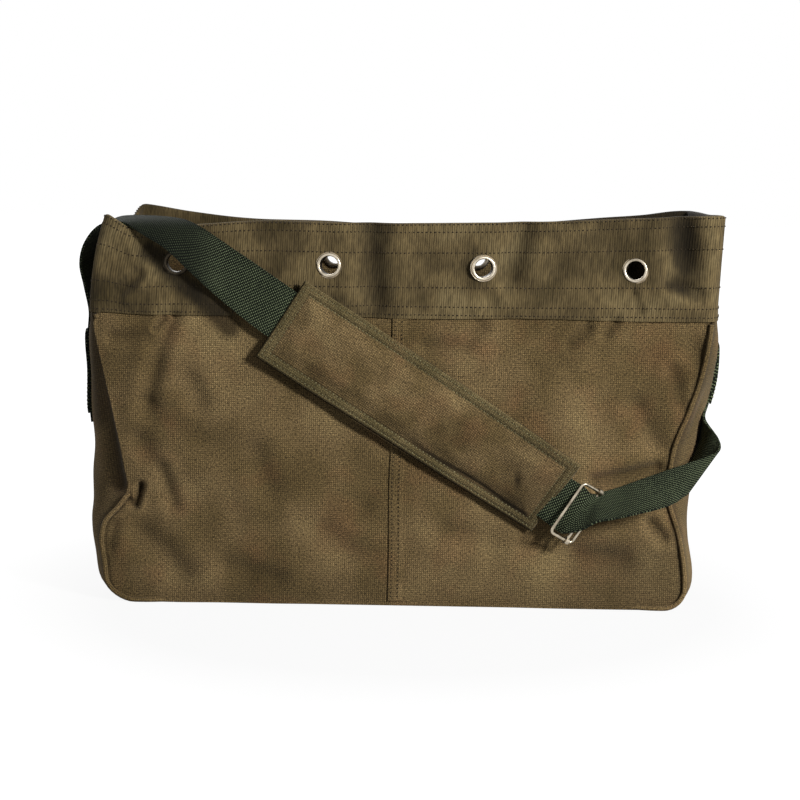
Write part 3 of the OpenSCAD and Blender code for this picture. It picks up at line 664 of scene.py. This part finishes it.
# Welts: the seam allowance of panel and gusset turned into a thin round piping along the panel's edge
welt = dict(width=3.6, thick=3.2, inset=1.0, top=213)
angles = np.linspace(0, 2 * math.pi, 13)[:-1]
flattened = np.sign(np.cos(angles)) * np.abs(np.cos(angles))**0.7
oval = np.stack([flattened * welt["width"] / 2, np.sin(angles) * welt["thick"] / 2], 1)
for face in ("front", "back"):
    front = face == "front"
    outSign = -1 if front else 1
    climb = np.concatenate([lowLevels, np.linspace(bag["corner"], welt["top"], 75)[1:]])
    leftRun = np.stack([seamX(face, "Left", climb), climb], 1)[::-1]
    rightRun = np.stack([seamX(face, "Right", climb), climb], 1)
    flatRun = np.stack([np.linspace(leftRun[-1, 0], rightRun[0, 0], 150)[1:-1], np.zeros(148)], 1)
    plan = np.concatenate([leftRun, flatRun, rightRun])
    run = np.gradient(plan, axis=0)
    run /= np.linalg.norm(run, axis=1, keepdims=True)
    inward = np.stack([-run[:, 1], run[:, 0]], 1)
    plan = plan + inward * welt["inset"]
    onBase = bell(plan[:, 1] / 9)                                # tucked under along the base
    tucked = rolled(plan[:, 1]) * (plan[:, 0] < 0) * front       # behind the rolled edge above the pinch
    plan[:, 0] += 4 * tucked
    stand = 1.7 - 3.2 * onBase * ease((190 - np.abs(plan[:, 0])) / 25) - 8 * tucked
    y = outSign * (bag["seamY"] + stand)
    path = np.stack([plan[:, 0], y, np.maximum(plan[:, 1], 0) + 0.6], 1)
    sideDir = np.stack([inward[:, 0], 0 * inward[:, 0], inward[:, 1]], 1)
    outDir = np.tile([0.0, outSign, 0.0], (len(path), 1))
    if not front:
        sideDir = -sideDir
    piece = sweep(face + "_welt_binding", path, sideDir, outDir, oval[::-1], 800, canvas)
    finishPiece(piece, "bag", "canvas", "welt_" + face)
print("welts made")

# Mouth band: ribbed cloth folded over the rim, all round in one run, with a facing inside
band = dict(thick=1.6, hemIn=13, cornerR=7, step=2.4, stack=4.8, rimLow=283.4)


def mouthOutline(r, step):           # plan points, inward directions and distance run, from the left front corner
    w, d = bag["halfWidth"], bag["halfDepth"]
    legs = [((-w + r, -d), (w - r, -d)), ((w, -d + r), (w, d - r)),
            ((w - r, d), (-w + r, d)), ((-w, d - r), (-w, -d + r))]
    turns = [(w - r, -d + r, -90), (w - r, d - r, 0), (-w + r, d - r, 90), (-w + r, -d + r, 180)]
    inwards = [(0, 1), (-1, 0), (0, -1), (1, 0)]
    points, ways = [], []
    for (a, b), inward, (cx, cy, begin) in zip(legs, inwards, turns):
        a, b = np.array(a, float), np.array(b, float)
        count = max(2, int(np.linalg.norm(b - a) / step))
        for t in np.arange(count) / count:
            points.append(a + (b - a) * t)
            ways.append(inward)
        for t in range(7):
            angle = math.radians(begin + 90 * t / 7)
            points.append(np.array([cx + r * math.cos(angle), cy + r * math.sin(angle)]))
            ways.append((-math.cos(angle), -math.sin(angle)))
    points, ways = np.array(points), np.array(ways, float)
    return points, ways, runOf(np.r_[points, points[:1]])


def layer(name, section, material):       # section: (inward, height) points round one closed section
    points, ways, run = mouthOutline(band["cornerR"], band["step"])
    plan = points[None] + ways[None] * section[:, None, 0, None]
    height = section[:, 1][:, None]
    wavyEdge = 0.7 * lineNoise(run[:-1], 70, 41)[None] * (height < bag["bandLow"] + 1)
    z = np.broadcast_to(height, plan.shape[:2]) + wavyEdge
    placed = mouth(plan[..., 0], plan[..., 1], z)
    uv = np.stack(np.broadcast_arrays(run[None, :], runOf(np.r_[section, section[:1]])[:, None]), -1)
    # painted shade from the creases and folds of the front and back
    paintedShade = [paintedShadeOf(placed[..., 0], placed[..., 2], front) for front in (True, False)]
    hollow = np.where(placed[..., 1] < 0, *paintedShade)
    hollow = hollow * (np.abs(plan[..., 1]) > 30)
    inside = (section[:, 0] > (band["stack"] - 1) / 2)[:, None] * (placed[..., 1] > 0)
    hollow = np.maximum(hollow, 0.85 * ease((placed[..., 0] - 90) / 60) * inside)      # painted shade inside at the right
    return loop(name, placed, uv, material, hollow)


stack, cloth, rimTop = band["stack"], band["thick"], bag["height"]
rises = np.linspace(bag["bandLow"], band["rimLow"], 34)
arch = np.radians(np.linspace(180, 0, 9))
outerLeg = np.stack([0 * rises, rises], 1)
overRim = np.stack([stack / 2 + stack / 2 * np.cos(arch), band["rimLow"] + 0.2 + stack / 2 * np.sin(arch)], 1)
innerLeg = np.array([[stack, rimTop - 7], [stack, rimTop - 11], [stack, rimTop - band["hemIn"]],
                     [stack - 1.2, rimTop - band["hemIn"]], [stack - 1.2, rimTop - 7], [stack - 1.4, rimTop - 3],
                     [cloth + 0.2, rimTop - 3]])
downAgain = np.stack([0 * rises + cloth, rises], 1)[::-1][1:]
section = np.concatenate([outerLeg, overRim, innerLeg, downAgain])
bandPiece = layer("mouth_band", section, bandCloth)
facing = dict(inset=3.4, thick=1.2, top=281)
rises = np.linspace(bag["bandLow"] + 1, facing["top"], 30)
facingSection = np.concatenate([np.stack([0 * rises + facing["inset"], rises], 1),
                                np.stack([0 * rises + facing["inset"] + facing["thick"], rises], 1)[::-1]])
facingPiece = layer("mouth_facing", facingSection, facingCloth)

# Eyelets: one is turned from its profile, then set into the band eight times
eyelet = dict(hole=6.6, rim=9.9, rise=1.9, wall=0.8, depth=7.4)


def eyeletMesh():
    h, r, w, up, deep = eyelet["hole"], eyelet["rim"], eyelet["wall"], eyelet["rise"], eyelet["depth"]
    roll = [(h + 1.15 - 1.15 * math.cos(a), up * 0.4 + 0.6 * up * math.sin(a))
            for a in np.radians(np.linspace(0, 165, 11))]
    flange = [(h + 2.5, 0.55), (h + 2.9, 0.75), (r - 0.35, 0.6), (r, 0.2)]
    washer = [(h + w, -deep + 1.7), (r - 0.3, -deep + 1.5), (r, -deep + 1.1), (r - 0.4, -deep + 0.7),
              (h + w + 1.0, -deep)]
    profile = [(h, -deep)] + roll + flange + [(r - 0.4, 0.05), (h + w, 0.05)] + washer
    bpy.ops.object.select_all(action="DESELECT")
    bpy.ops.mesh.primitive_circle_add(vertices=len(profile), radius=0.01, fill_type="NOTHING")
    made = bpy.context.object
    for vertex, (radius, out) in zip(made.data.vertices, profile):
        vertex.co = (radius / 1000, 0, out / 1000)
    bpy.ops.object.mode_set(mode="EDIT")
    bpy.ops.mesh.select_all(action="SELECT")
    bpy.ops.mesh.spin(steps=44, angle=2 * math.pi, center=(0, 0, 0), axis=(0, 0, 1))
    bpy.ops.mesh.select_all(action="SELECT")
    bpy.ops.mesh.remove_doubles(threshold=0.00002)
    bpy.ops.mesh.normals_make_consistent(inside=False)
    bpy.ops.object.mode_set(mode="OBJECT")
    bpy.ops.object.shade_smooth_by_angle(angle=math.radians(40))
    for polygon in made.data.polygons:                           # the bore is dark with age
        reach = math.hypot(polygon.center.x, polygon.center.y) * 1000
        polygon.material_index = 1 if polygon.center.z < 0.0003 and reach < h + 0.3 else 0
    return made


def eyeletPlace(x, y, z):    # place on the sagging band, and the way the cloth faces there
    du = mouth(x + 9, y, z) - mouth(x - 9, y, z)
    dv = mouth(x, y, z + 9) - mouth(x, y, z - 9)
    out = np.cross(du, dv) * (1 if y < 0 else -1)
    out /= np.linalg.norm(out)
    return mouth(x, y, z), out


mounts = {mount["name"]: 1000 * np.array(mount["pos_m"]) for mount in frame["record"]["mounts"]}
cutters = []
turnedEyelet = eyeletMesh()
for face in ("front", "back"):
    front = face == "front"
    y = -bag["halfDepth"] if front else bag["halfDepth"]
    for i in range(4):
        name = "eyelet_%s_%d" % (face, i + 1)
        x, z = mounts[name][0], mounts[name][2]
        for step in range(8):                                    # plain place that the sag carries to the mount
            centre, out = eyeletPlace(x, y, z)
            middle = centre - out * (eyelet["depth"] - eyelet["rise"]) / 2
            x, z = x + mounts[name][0] - middle[0], z + mounts[name][2] - middle[2]
        centre, out = eyeletPlace(x, y, z)
        turn = Vector((0, 0, 1)).rotation_difference(Vector(out)).to_matrix().to_4x4()
        turn.translation = Vector(centre / 1000)
        copy = bpy.data.objects.new(name, turnedEyelet.data.copy())
        bpy.context.scene.collection.objects.link(copy)
        copy.data.transform(turn)
        copy.data.materials.append(tarnishAndShade if front and i == 0 else nickel)      # the first sits in the webbing's shadow and gets the dark metal as painted shade
        copy.data.materials.append(tarnishAndShade)
        finishPiece(copy, "bag", "eyelet_metal", "eyelets_" + face, "washers_" + face)
        bpy.ops.object.select_all(action="DESELECT")
        cutRadius = (eyelet["hole"] + eyelet["wall"] * 0.6) / 1000
        bpy.ops.mesh.primitive_cylinder_add(vertices=24, radius=cutRadius, depth=0.03)
        cutter = bpy.context.object
        cutter.data.transform(turn)
        cutters.append(cutter)
bpy.data.objects.remove(turnedEyelet)
for piece in (bandPiece, facingPiece):
    bpy.ops.object.select_all(action="DESELECT")
    bpy.context.view_layer.objects.active = piece
    piece.select_set(True)
    for cutter in cutters:
        hole = piece.modifiers.new("hole", "BOOLEAN")
        hole.operation, hole.solver, hole.object = "DIFFERENCE", "EXACT", cutter
        bpy.ops.object.modifier_apply(modifier=hole.name)
for cutter in cutters:
    bpy.data.objects.remove(cutter)
finishPiece(bandPiece, "bag", "band_cloth", "band_front", "band_back", "band_left", "band_right",
            "hem_tape_front", "hem_tape_back")
finishPiece(facingPiece, "bag", "facing_cloth", "facing_front", "facing_back", "facing_left", "facing_right")
print("mouth band, facing and eyelets made")


# Webbing: rows of points across its width, smoothed along the run
def smoothRun(rows, steps):
    rows = np.array(rows, float)
    out = []
    for i in range(len(rows) - 1):
        a, b, c, d = rows[max(i - 1, 0)], rows[i], rows[i + 1], rows[min(i + 2, len(rows) - 1)]
        for k in range(steps):
            t = k / steps
            out.append(0.5 * (2 * b + (c - a) * t + (2 * a - 5 * b + 4 * c - d) * t**2
                              + (3 * b - a - 3 * c + d) * t**3))
    return np.array(out + [rows[-1]])


web = dict(width=38, thick=1.8, columns=11, lie=1.3)
webShare = np.linspace(0, 1, web["columns"])[:, None]           # 0 to 1 across the webbing
webY = web["width"] / 2 * (1 - 2 * webShare[:, 0])


def pair(u, v, crown=(0, 0, 0)):
    u, v, crown = np.array(u, float), np.array(v, float), np.array(crown, float)
    return u + (v - u) * webShare + crown * 4 * webShare * (1 - webShare)


def sewn(side, z, off):
    x = gussetX(side, webY, np.full_like(webY, z)) + (off if side == "Right" else -off)
    return np.stack([x, webY, np.full_like(webY, z)], 1)


rimPoint, turnPoint = np.array([-154, -66.5, 258.0]), np.array([127, -84, 77.0])
fallLength = np.linalg.norm(turnPoint - rimPoint)
alongFall = (turnPoint - rimPoint) / fallLength
dip = math.atan2(-alongFall[2], alongFall[0])
upFall = np.array([math.sin(dip), 0, math.cos(dip)])
inFall = np.cross(upFall, alongFall)


def onFall(x, y, z):         # place in the diagonal's own frame: along, inward, up its width
    return rimPoint + np.multiply.outer(x, alongFall) + np.multiply.outer(y, inFall) + np.multiply.outer(z, upFall)


def fallPair(x, turn=0, inward=0):
    c, d = [web["width"] / 2 * way(math.radians(turn)) for way in (math.cos, math.sin)]
    return pair(onFall(x, inward + d, c), onFall(x, inward - d, -c))


def ribbon(name, rows, steps=6, dark=None):
    grid = smoothRun(rows, steps)
    middle = grid[:, web["columns"] // 2]
    uv = np.stack(np.broadcast_arrays(runOf(middle)[:, None], (webShare[:, 0] * web["width"])[None, :]), -1)
    fromEdge = np.minimum(webShare, 1 - webShare)[:, 0] * web["width"]
    # painted shade darkening both edges, plus any painted shade given by dark
    paintedDarkening = 0.35 * np.exp(-fromEdge / 1.5)[None, :] + (dark(grid) if dark else 0 * grid[..., 0])
    return thick(name, grid, web["thick"], uv, webbing, np.clip(paintedDarkening, 0, 0.85))


def rimPaintedShade(grid):           # painted shade where it is bent over the rim
    return 0.7 * ease((-132 - grid[..., 0]) / 26)


upperRows = [sewn("Left", z, web["lie"]) for z in np.linspace(128, 200, 9)]
upperRows += [
    pair((-235, 17.5, 214), (-236, -20.5, 213), (-1, 0, 0)), pair((-234.5, 12, 233), (-239, -24, 231)),
    pair((-232, 4, 254), (-241, -31, 248)), pair((-227, -6, 270), (-236, -39, 264)),
    pair((-215, -18, 281.5), (-224, -46, 277)), pair((-190, -38, 284), (-206, -58, 280)),
    pair((-164, -55, 283), (-189, -66, 271.5), (0, -2, 2)), pair((-149, -63, 278), (-173, -72.5, 262.5), (0, -2, 2)),
    pair(onFall(6, 3, 20), onFall(6, -2.5, -11), (0, -2, 0)), pair(onFall(30, 3.3, 20), onFall(30, 3.2, -15.5)),
    pair(onFall(66, 3.5, 19.5), onFall(66, 3.5, -18.8)),
    fallPair(100, 0, 4), fallPair(130, -0.4, 4.5), fallPair(160, -1.8, 5.05)]
upper = ribbon("webbing_upper", upperRows, dark=rimPaintedShade)
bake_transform(upper)
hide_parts("strap_left", "strap_front")


def beside(y, z, off):       # place off the right gusset
    return np.array([float(gussetX("Right", y, z)) + off, y, z])


lowerRows = [fallPair(*place) for place in ((160, -1.8, 5.05), (200, -5.8, 5.8), (240, -11.2, 6), (280, -15.5, 6),
                                            (305, -15.5, 5), (fallLength - 8, -8, 1.5))]
lowerRows += [
    pair((137, -82, 91.5), (116, -87, 63)), pair((141.5, -79, 91), (129, -95, 67.5)),
    pair((146, -76.5, 91.5), (139, -101, 74.5)), pair((158, -75, 95), (151, -103, 77.5)),
    pair((180, -72, 102.7), (165, -104, 81)), pair((208, -67, 112), (190, -98, 86.5)),
    pair((222, -64, 116.5), (200, -88, 90)), pair((231.5, -60, 121.5), (208.5, -76, 94.5)),
    pair((233, -46, 128), (212, -46, 104)), pair(beside(-32, 140, 5), beside(0, 122, 2.5))]
lowerRows += [sewn("Right", z, web["lie"])[::-1] for z in (150, 162, 175, 188)]
lower = ribbon("webbing_lower", lowerRows)
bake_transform(lower)
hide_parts("strap_lower", "strap_right")

# Patches of the same webbing sewn over the ends
patches = dict(thick=1.5, left=(134, 198), right=(150, 196), corner=5, lie=web["lie"] + web["thick"] / 2 + 1.0)
for side in ("left", "right"):
    low, high = patches[side]
    zs = np.linspace(low, high, 24)
    r = patches["corner"]
    grid = []
    for z in zs:
        near = min(z - low, high - z) if side == "left" else high - z
        half = web["width"] / 2 - max(0, r - math.sqrt(max(0, r**2 - (r - min(near, r))**2)))
        yy = webY * half / (web["width"] / 2)
        off = patches["lie"] if side == "right" else -patches["lie"]
        x = gussetX(side.capitalize(), yy, np.full_like(yy, z)) + off
        grid.append(np.stack([x, yy, np.full_like(yy, z)], 1))
    grid = np.array(grid)
    if side == "right":
        grid = grid[:, ::-1]
    uv = np.stack(np.broadcast_arrays(zs[:, None] + 500, (webShare[:, 0] * web["width"])[None, :]), -1)
    piece = thick("strap_patch_%s_web" % side, grid, patches["thick"], uv, webbing)
    finishPiece(piece, "bag", "webbing", "strap_patch_" + side)
print("webbing made")

# Shoulder pad: stitched border, soft crowned middle, and the sleeve behind that the webbing runs through
pad = dict(length=240, width=65, toSlide=20, flange=2.5, crown=5.7, rows=(2.6, 7.4), twist=-18, back=6,
           nudge=[(3.5, -2.8), (1.0, 0.4)], dents=[(196, -4, 1.3, 9), (224, -18, 1.0, 7), (120, 12, 0.8, 12),
                                                   (30, -10, 0.8, 10), (209, -4, 1.4, 3)])
padStart = fallLength - pad["toSlide"] - pad["length"]


def onPad(x, y, z):          # a little below the webbing at the upper end, turning with it towards the slide
    s = (x - padStart) / pad["length"]
    (ax, az), (bx, bz) = pad["nudge"]
    turn = np.radians(pad["twist"]) * ease((s - 0.3) / 0.8)
    inward = pad["back"] - 2.6 * np.clip(1 - s / 0.6, 0, 1.3)
    return onFall(x + ax + (bx - ax) * s, y * np.cos(turn) + z * np.sin(turn) + inward,
                  z * np.cos(turn) - y * np.sin(turn) + az + (bz - az) * s)


def padEdge(x, z):           # distance from the pad's nearest edge
    return np.minimum(np.minimum(x - padStart, padStart + pad["length"] - x), np.minimum(z, -z) + pad["width"] / 2)


def padFront(x, z):          # height of the cover, drawn down along both stitch rows
    edge = padEdge(x, z)
    high = 0.7 + (pad["flange"] - 0.7) * (1 - np.exp(-np.maximum(edge, 0) / 0.9))
    high = high + (pad["crown"] - pad["flange"]) * ease((edge - 7.5) / 13)
    high = high - 0.55 * bell((edge - pad["rows"][0]) / 0.8) - 0.75 * bell((edge - pad["rows"][1]) / 0.9)
    soft = ease((edge - 5) / 10)
    lumps = (0.55 + 0.55 * ease((x - padStart - 90) / 60)) * softNoise(x, z * 0.7, 30, 61)
    high = high + soft * (lumps + 0.3 * softNoise(x, z, 13, 62))
    for cx, cz, depth, width in pad["dents"]:
        slanted = (x - padStart - cx + 0.5 * (z - cz)) / width
        high = high - soft * depth * bell(np.hypot(slanted, (z - cz) / width / 1.8))
    return high - 1.1 * padCrease(x, z)


def padCrease(x, z):         # the middle has slumped over its lower border towards the slide
    line = bell((z + 23.2 + 1.1 * lineNoise(x, 30, 75)) / 1.9)
    return line * ease((x - padStart - 105) / 50) * ease((padStart + 236 - x) / 12)


long, half = pad["length"], pad["width"] / 2
xs = np.unique(np.r_[np.linspace(0, 10, 15), np.linspace(10, long - 10, 200), np.linspace(long - 10, long, 15)])
zs = np.unique(np.r_[np.linspace(-half, -20.5, 25), np.linspace(-20.5, 22.5, 34), np.linspace(22.5, half, 15)])
x, z = np.meshgrid(padStart + xs, zs)
fromMiddle = x - padStart - long / 2
wavyX = 0.8 * lineNoise(z, 40, 71) * np.sign(fromMiddle) * ease((np.abs(fromMiddle) - 90) / 30)
wavyZ = 0.7 * lineNoise(x, 60, 72) * np.sign(z) * ease((np.abs(z) - 15) / 17)
outer = onPad(x + wavyX, -1.15 - padFront(x, z), z + wavyZ)
inner = onPad(x + wavyX, -1.2 - 0.6 * ease((22.5 - np.abs(z)) / 2), z + wavyZ)       # hollowed for the webbing
edge = padEdge(x, z)
uv = np.stack([x + 3000, z], -1)
# painted shade along the stitch rows, in the slumped crease, in a dent near the slide and darker towards the low end
wrinkle = 0.7 * bell(np.hypot((x - padStart - 209 + 0.5 * (z + 4)) / 2.2, (z + 4) / 5))
paintedShade = 0.25 * bell((edge - pad["rows"][1]) / 0.8) + 0.2 * bell((edge - pad["rows"][0]) / 0.7)
paintedShade = paintedShade + 0.95 * padCrease(x, z) + wrinkle + 0.22 * ease((x - padStart - 175) / 60)
fadedBorder = 0.42 * ease((8.8 - edge) / 2)
padPiece = shell("shoulder_pad_cover", outer, inner, uv, padCanvas, np.clip(paintedShade, 0, 0.92), fadedBorder)
finishPiece(padPiece, "shoulder_pad", "canvas", "pad_cover", "pad_core", "pad_lining")
# the sleeve reaches past the cover's lower edge in its very dark cloth, a painted shade line under the pad
sleeveZ = np.array([-33.6, -29, -26, -24, -22.6, -22, -15, -7, 0, 7, 15, 22, 22.6, 24, 26, 29, 32.2])
lift = np.where(np.abs(sleeveZ) > 23, 0.0, 2.3)
lift[np.abs(np.abs(sleeveZ) - 24) < 0.1] = 0.35
x, z = np.meshgrid(np.linspace(padStart - 1.0, padStart + long - 0.5, 120), sleeveZ)
y = -0.45 + np.broadcast_to(lift[:, None], x.shape)
grid = onPad(x, y, z)[::-1]
uv = np.stack([x + 3400, z], -1)
n = normals(grid)
piece = shell("shoulder_pad_sleeve", grid + n * 0.5, grid - n * 0.5, uv, shadedLiningCloth)
finishPiece(piece, "shoulder_pad", "canvas", "pad_sleeve")
print("shoulder pad made")

# Wire slide: the drawn wire and its sliding bar are right as they are
for name in ("slide_frame", "slide_bar"):
    node = frame["nodes"][name]
    node.data.materials.clear()
    node.data.materials.append(wire)

# Stitches: one is shaped, then laid along each row
stitch = dict(length=1.6, width=0.8, height=0.5, pitch=3.1)
bpy.ops.object.select_all(action="DESELECT")
bpy.ops.mesh.primitive_uv_sphere_add(segments=6, ring_count=4, radius=0.5)
oneStitch = bpy.context.object
bpy.ops.object.mode_set(mode="EDIT")
bpy.ops.mesh.select_all(action="SELECT")
bpy.ops.transform.rotate(value=math.pi / 2, orient_axis="Y", center_override=(0, 0, 0))
bpy.ops.object.mode_set(mode="OBJECT")
stitchPoints = np.array([v.co for v in oneStitch.data.vertices], float)
stitchFaces = [list(p.vertices) for p in oneStitch.data.polygons]
bpy.data.objects.remove(oneStitch)
stitchPoints[:, 2] -= 0.9 * np.abs(stitchPoints[:, 0])**2         # the ends dive into the cloth


def stitchRows(name, rows, material, body, size=stitch):
    points, faces, uv = [], [], []
    base = 0
    for path, out in rows:                                       # path (n, 3), outward directions (n, 3)
        run = runOf(path)
        for s in np.arange(size["pitch"] / 2, run[-1], size["pitch"]):
            at = lambda d, a: np.array([np.interp(d, run, a[:, k]) for k in range(3)])
            centre, o = at(s, path), at(s, out)
            t = at(min(s + 0.8, run[-1]), path) - at(max(s - 0.8, 0), path)
            t /= np.linalg.norm(t)
            o = o - t * (o @ t)
            o /= np.linalg.norm(o)
            b = np.cross(o, t)
            local = stitchPoints * (size["length"], size["width"], size["height"] * 2)
            points.append(centre + local[:, :1] * t + local[:, 1:2] * b + local[:, 2:] * o)
            faces += [[base + i for i in face] for face in stitchFaces]
            base += len(stitchPoints)
    points = np.concatenate(points)
    piece = makePiece(name, points, faces, points[:, :2], material, smoothAngle=180)
    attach(piece, body)
    return piece


outline, ways, run = mouthOutline(band["cornerR"], band["step"])
rows = []
closed = np.r_[np.arange(len(outline)), 0]
for drop in (1.5, 7.1, 22.4, 48.1, 62.4, 68.5):
    path = mouth(outline[:, 0], outline[:, 1], np.full(len(outline), bag["height"] - drop))
    rows.append(((path - np.c_[ways, 0 * run[:-1]] * 0.12)[closed], np.c_[-ways, 0 * run[:-1]][closed]))
stitchRows("band_stitches", rows, darkThread, "bag", dict(stitch, length=1.55, width=1.05))

rows = []
for face in ("front", "back"):
    front = face == "front"
    for across in (2.3, 7.2):
        zz = np.linspace(6, 214, 120)
        x = (fell["left"] + across + fellWander(zz)) * (1 if front else -1)
        y = panelY(x, zz, front) + (-1.35 if front else 1.35)
        rows.append((np.stack([x, y, zz], 1), np.tile([0, -1.0 if front else 1.0, 0], (len(zz), 1))))
stitchRows("seam_stitches", rows, darkThread, "bag")

rows = []
for inset in pad["rows"]:
    x0, x1, w = padStart + inset, padStart + long - inset, half - inset
    legs = [((x0, w), (x1, w), 120), ((x1, w), (x1, -w), 40), ((x1, -w), (x0, -w), 120), ((x0, -w), (x0, w), 40)]
    ring = np.concatenate([np.linspace(a, b, count) for a, b, count in legs])
    path = onPad(ring[:, 0], -1.2 - padFront(ring[:, 0], ring[:, 1]), ring[:, 1])
    rows.append((path, np.tile(-inFall, (len(path), 1))))
stitchRows("pad_stitches", rows, oliveThread, "shoulder_pad", dict(stitch, pitch=3.0, length=1.7, width=0.9))

rows = []
for side in ("left", "right"):
    low, high = patches[side]
    sign = 1 if side == "right" else -1
    box = [(15, low + 4), (15, high - 6), (-15, high - 6), (-15, low + 4), (15, low + 4), (-15, high - 6)]
    for (ya, za), (yb, zb) in zip(box[:-1], box[1:]):
        t = np.linspace(0, 1, 20)
        yy, zz = ya + (yb - ya) * t, za + (zb - za) * t
        x = gussetX(side.capitalize(), yy, zz) + sign * (patches["lie"] + patches["thick"] / 2 + 0.05)
        rows.append((np.stack([x, yy, zz], 1), np.tile([float(sign), 0, 0], (20, 1))))
stitchRows("patch_stitches", rows, oliveThread, "bag")
print("stitches made")

# Camera at the photograph's height, a pale floor and soft studio light
view = dict(elevation=8.0, distance=1.4, look=(-0.003, -0.06, 0.1545), lens=86.2, roll=1.0)
cameraData = bpy.data.cameras.new("camera")
cameraData.lens, cameraData.sensor_width, cameraData.clip_start = view["lens"], 36, 0.05
camera = bpy.data.objects.new("camera", cameraData)
bpy.context.scene.collection.objects.link(camera)
tip = math.radians(view["elevation"])
camera.location = Vector(view["look"]) + Vector((0, -math.cos(tip), math.sin(tip))) * view["distance"]
roll = Matrix.Rotation(math.radians(view["roll"]), 3, "Z")
camera.rotation_euler = (Matrix.Rotation(math.pi / 2 - tip, 3, "X") @ roll).to_euler()
bpy.context.scene.camera = camera

lights = [("key", (1.25, -1.4, 0.85), 0.35, 52), ("side", (-1.8, -0.35, 0.5), 0.8, 4.5),      # place, size and watts
          ("back", (-0.4, 1.5, 1.3), 1.0, 24)]
for name, place, size, power in lights:
    data = bpy.data.lights.new(name, "AREA")
    data.energy, data.size = power, size
    lamp = bpy.data.objects.new(name, data)
    bpy.context.scene.collection.objects.link(lamp)
    lamp.location = place
    lamp.rotation_euler = (Vector((0, 0, 0.14)) - Vector(place)).to_track_quat("-Z", "Y").to_euler()


def seenDirectly(tree):      # 1 for what the camera sees, also in metal and glass
    seen = addNode(tree, "ShaderNodeLightPath").outputs
    glossy = combined(tree, "MAXIMUM", seen["Is Glossy Ray"], seen["Is Transmission Ray"])
    return combined(tree, "MAXIMUM", seen["Is Camera Ray"], glossy)


world = bpy.data.worlds.new("studio")
bpy.context.scene.world = world
world.use_nodes = True
world.node_tree.nodes.clear()
sky = world.node_tree
glow, white = [addNode(sky, "ShaderNodeBackground", {"Color": (1, 1, 1, 1), "Strength": strength}).outputs[0]
               for strength in (0.05, 1.0)]
either = addNode(sky, "ShaderNodeMixShader", links={0: seenDirectly(sky), 1: glow, 2: white}).outputs[0]
addNode(sky, "ShaderNodeOutputWorld", links={"Surface": either})

bpy.ops.object.select_all(action="DESELECT")
bpy.ops.mesh.primitive_plane_add(size=12)
floor = bpy.context.object
floor.name = "floor"
floorMaterial, tree = newMaterial("white_paper_backdrop")
paper = addNode(tree, "ShaderNodeBsdfDiffuse", {"Color": (0.32, 0.32, 0.32, 1)}).outputs[0]
bright = addNode(tree, "ShaderNodeEmission", {"Color": (1, 1, 1, 1), "Strength": 1.12}).outputs[0]
away = addNode(tree, "ShaderNodeVectorMath", {"operation": "LENGTH"}, {0: objectPlace(tree)}).outputs["Value"]
lit = ranged(tree, away, 0.82, 1.0, 0.24, 0.5)                   # keeps only the shadow near the bag
shown = addNode(tree, "ShaderNodeMixShader", links={0: lit, 1: paper, 2: bright}).outputs[0]
shader = addNode(tree, "ShaderNodeMixShader", links={0: seenDirectly(tree), 1: paper, 2: shown}).outputs[0]
addNode(tree, "ShaderNodeOutputMaterial", links={"Surface": shader})
floor.data.materials.append(floorMaterial)
floor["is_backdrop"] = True

scene = bpy.context.scene
scene.view_settings.view_transform = "Standard"
scene.view_settings.look = "None"
scene.view_settings.exposure = 0.0

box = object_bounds()
{"cad": [list(map(float, p)) for p in cadBox], "visual": [list(map(float, p)) for p in box]}
print("visual box", [[round(float(c), 3) for c in p] for p in box])
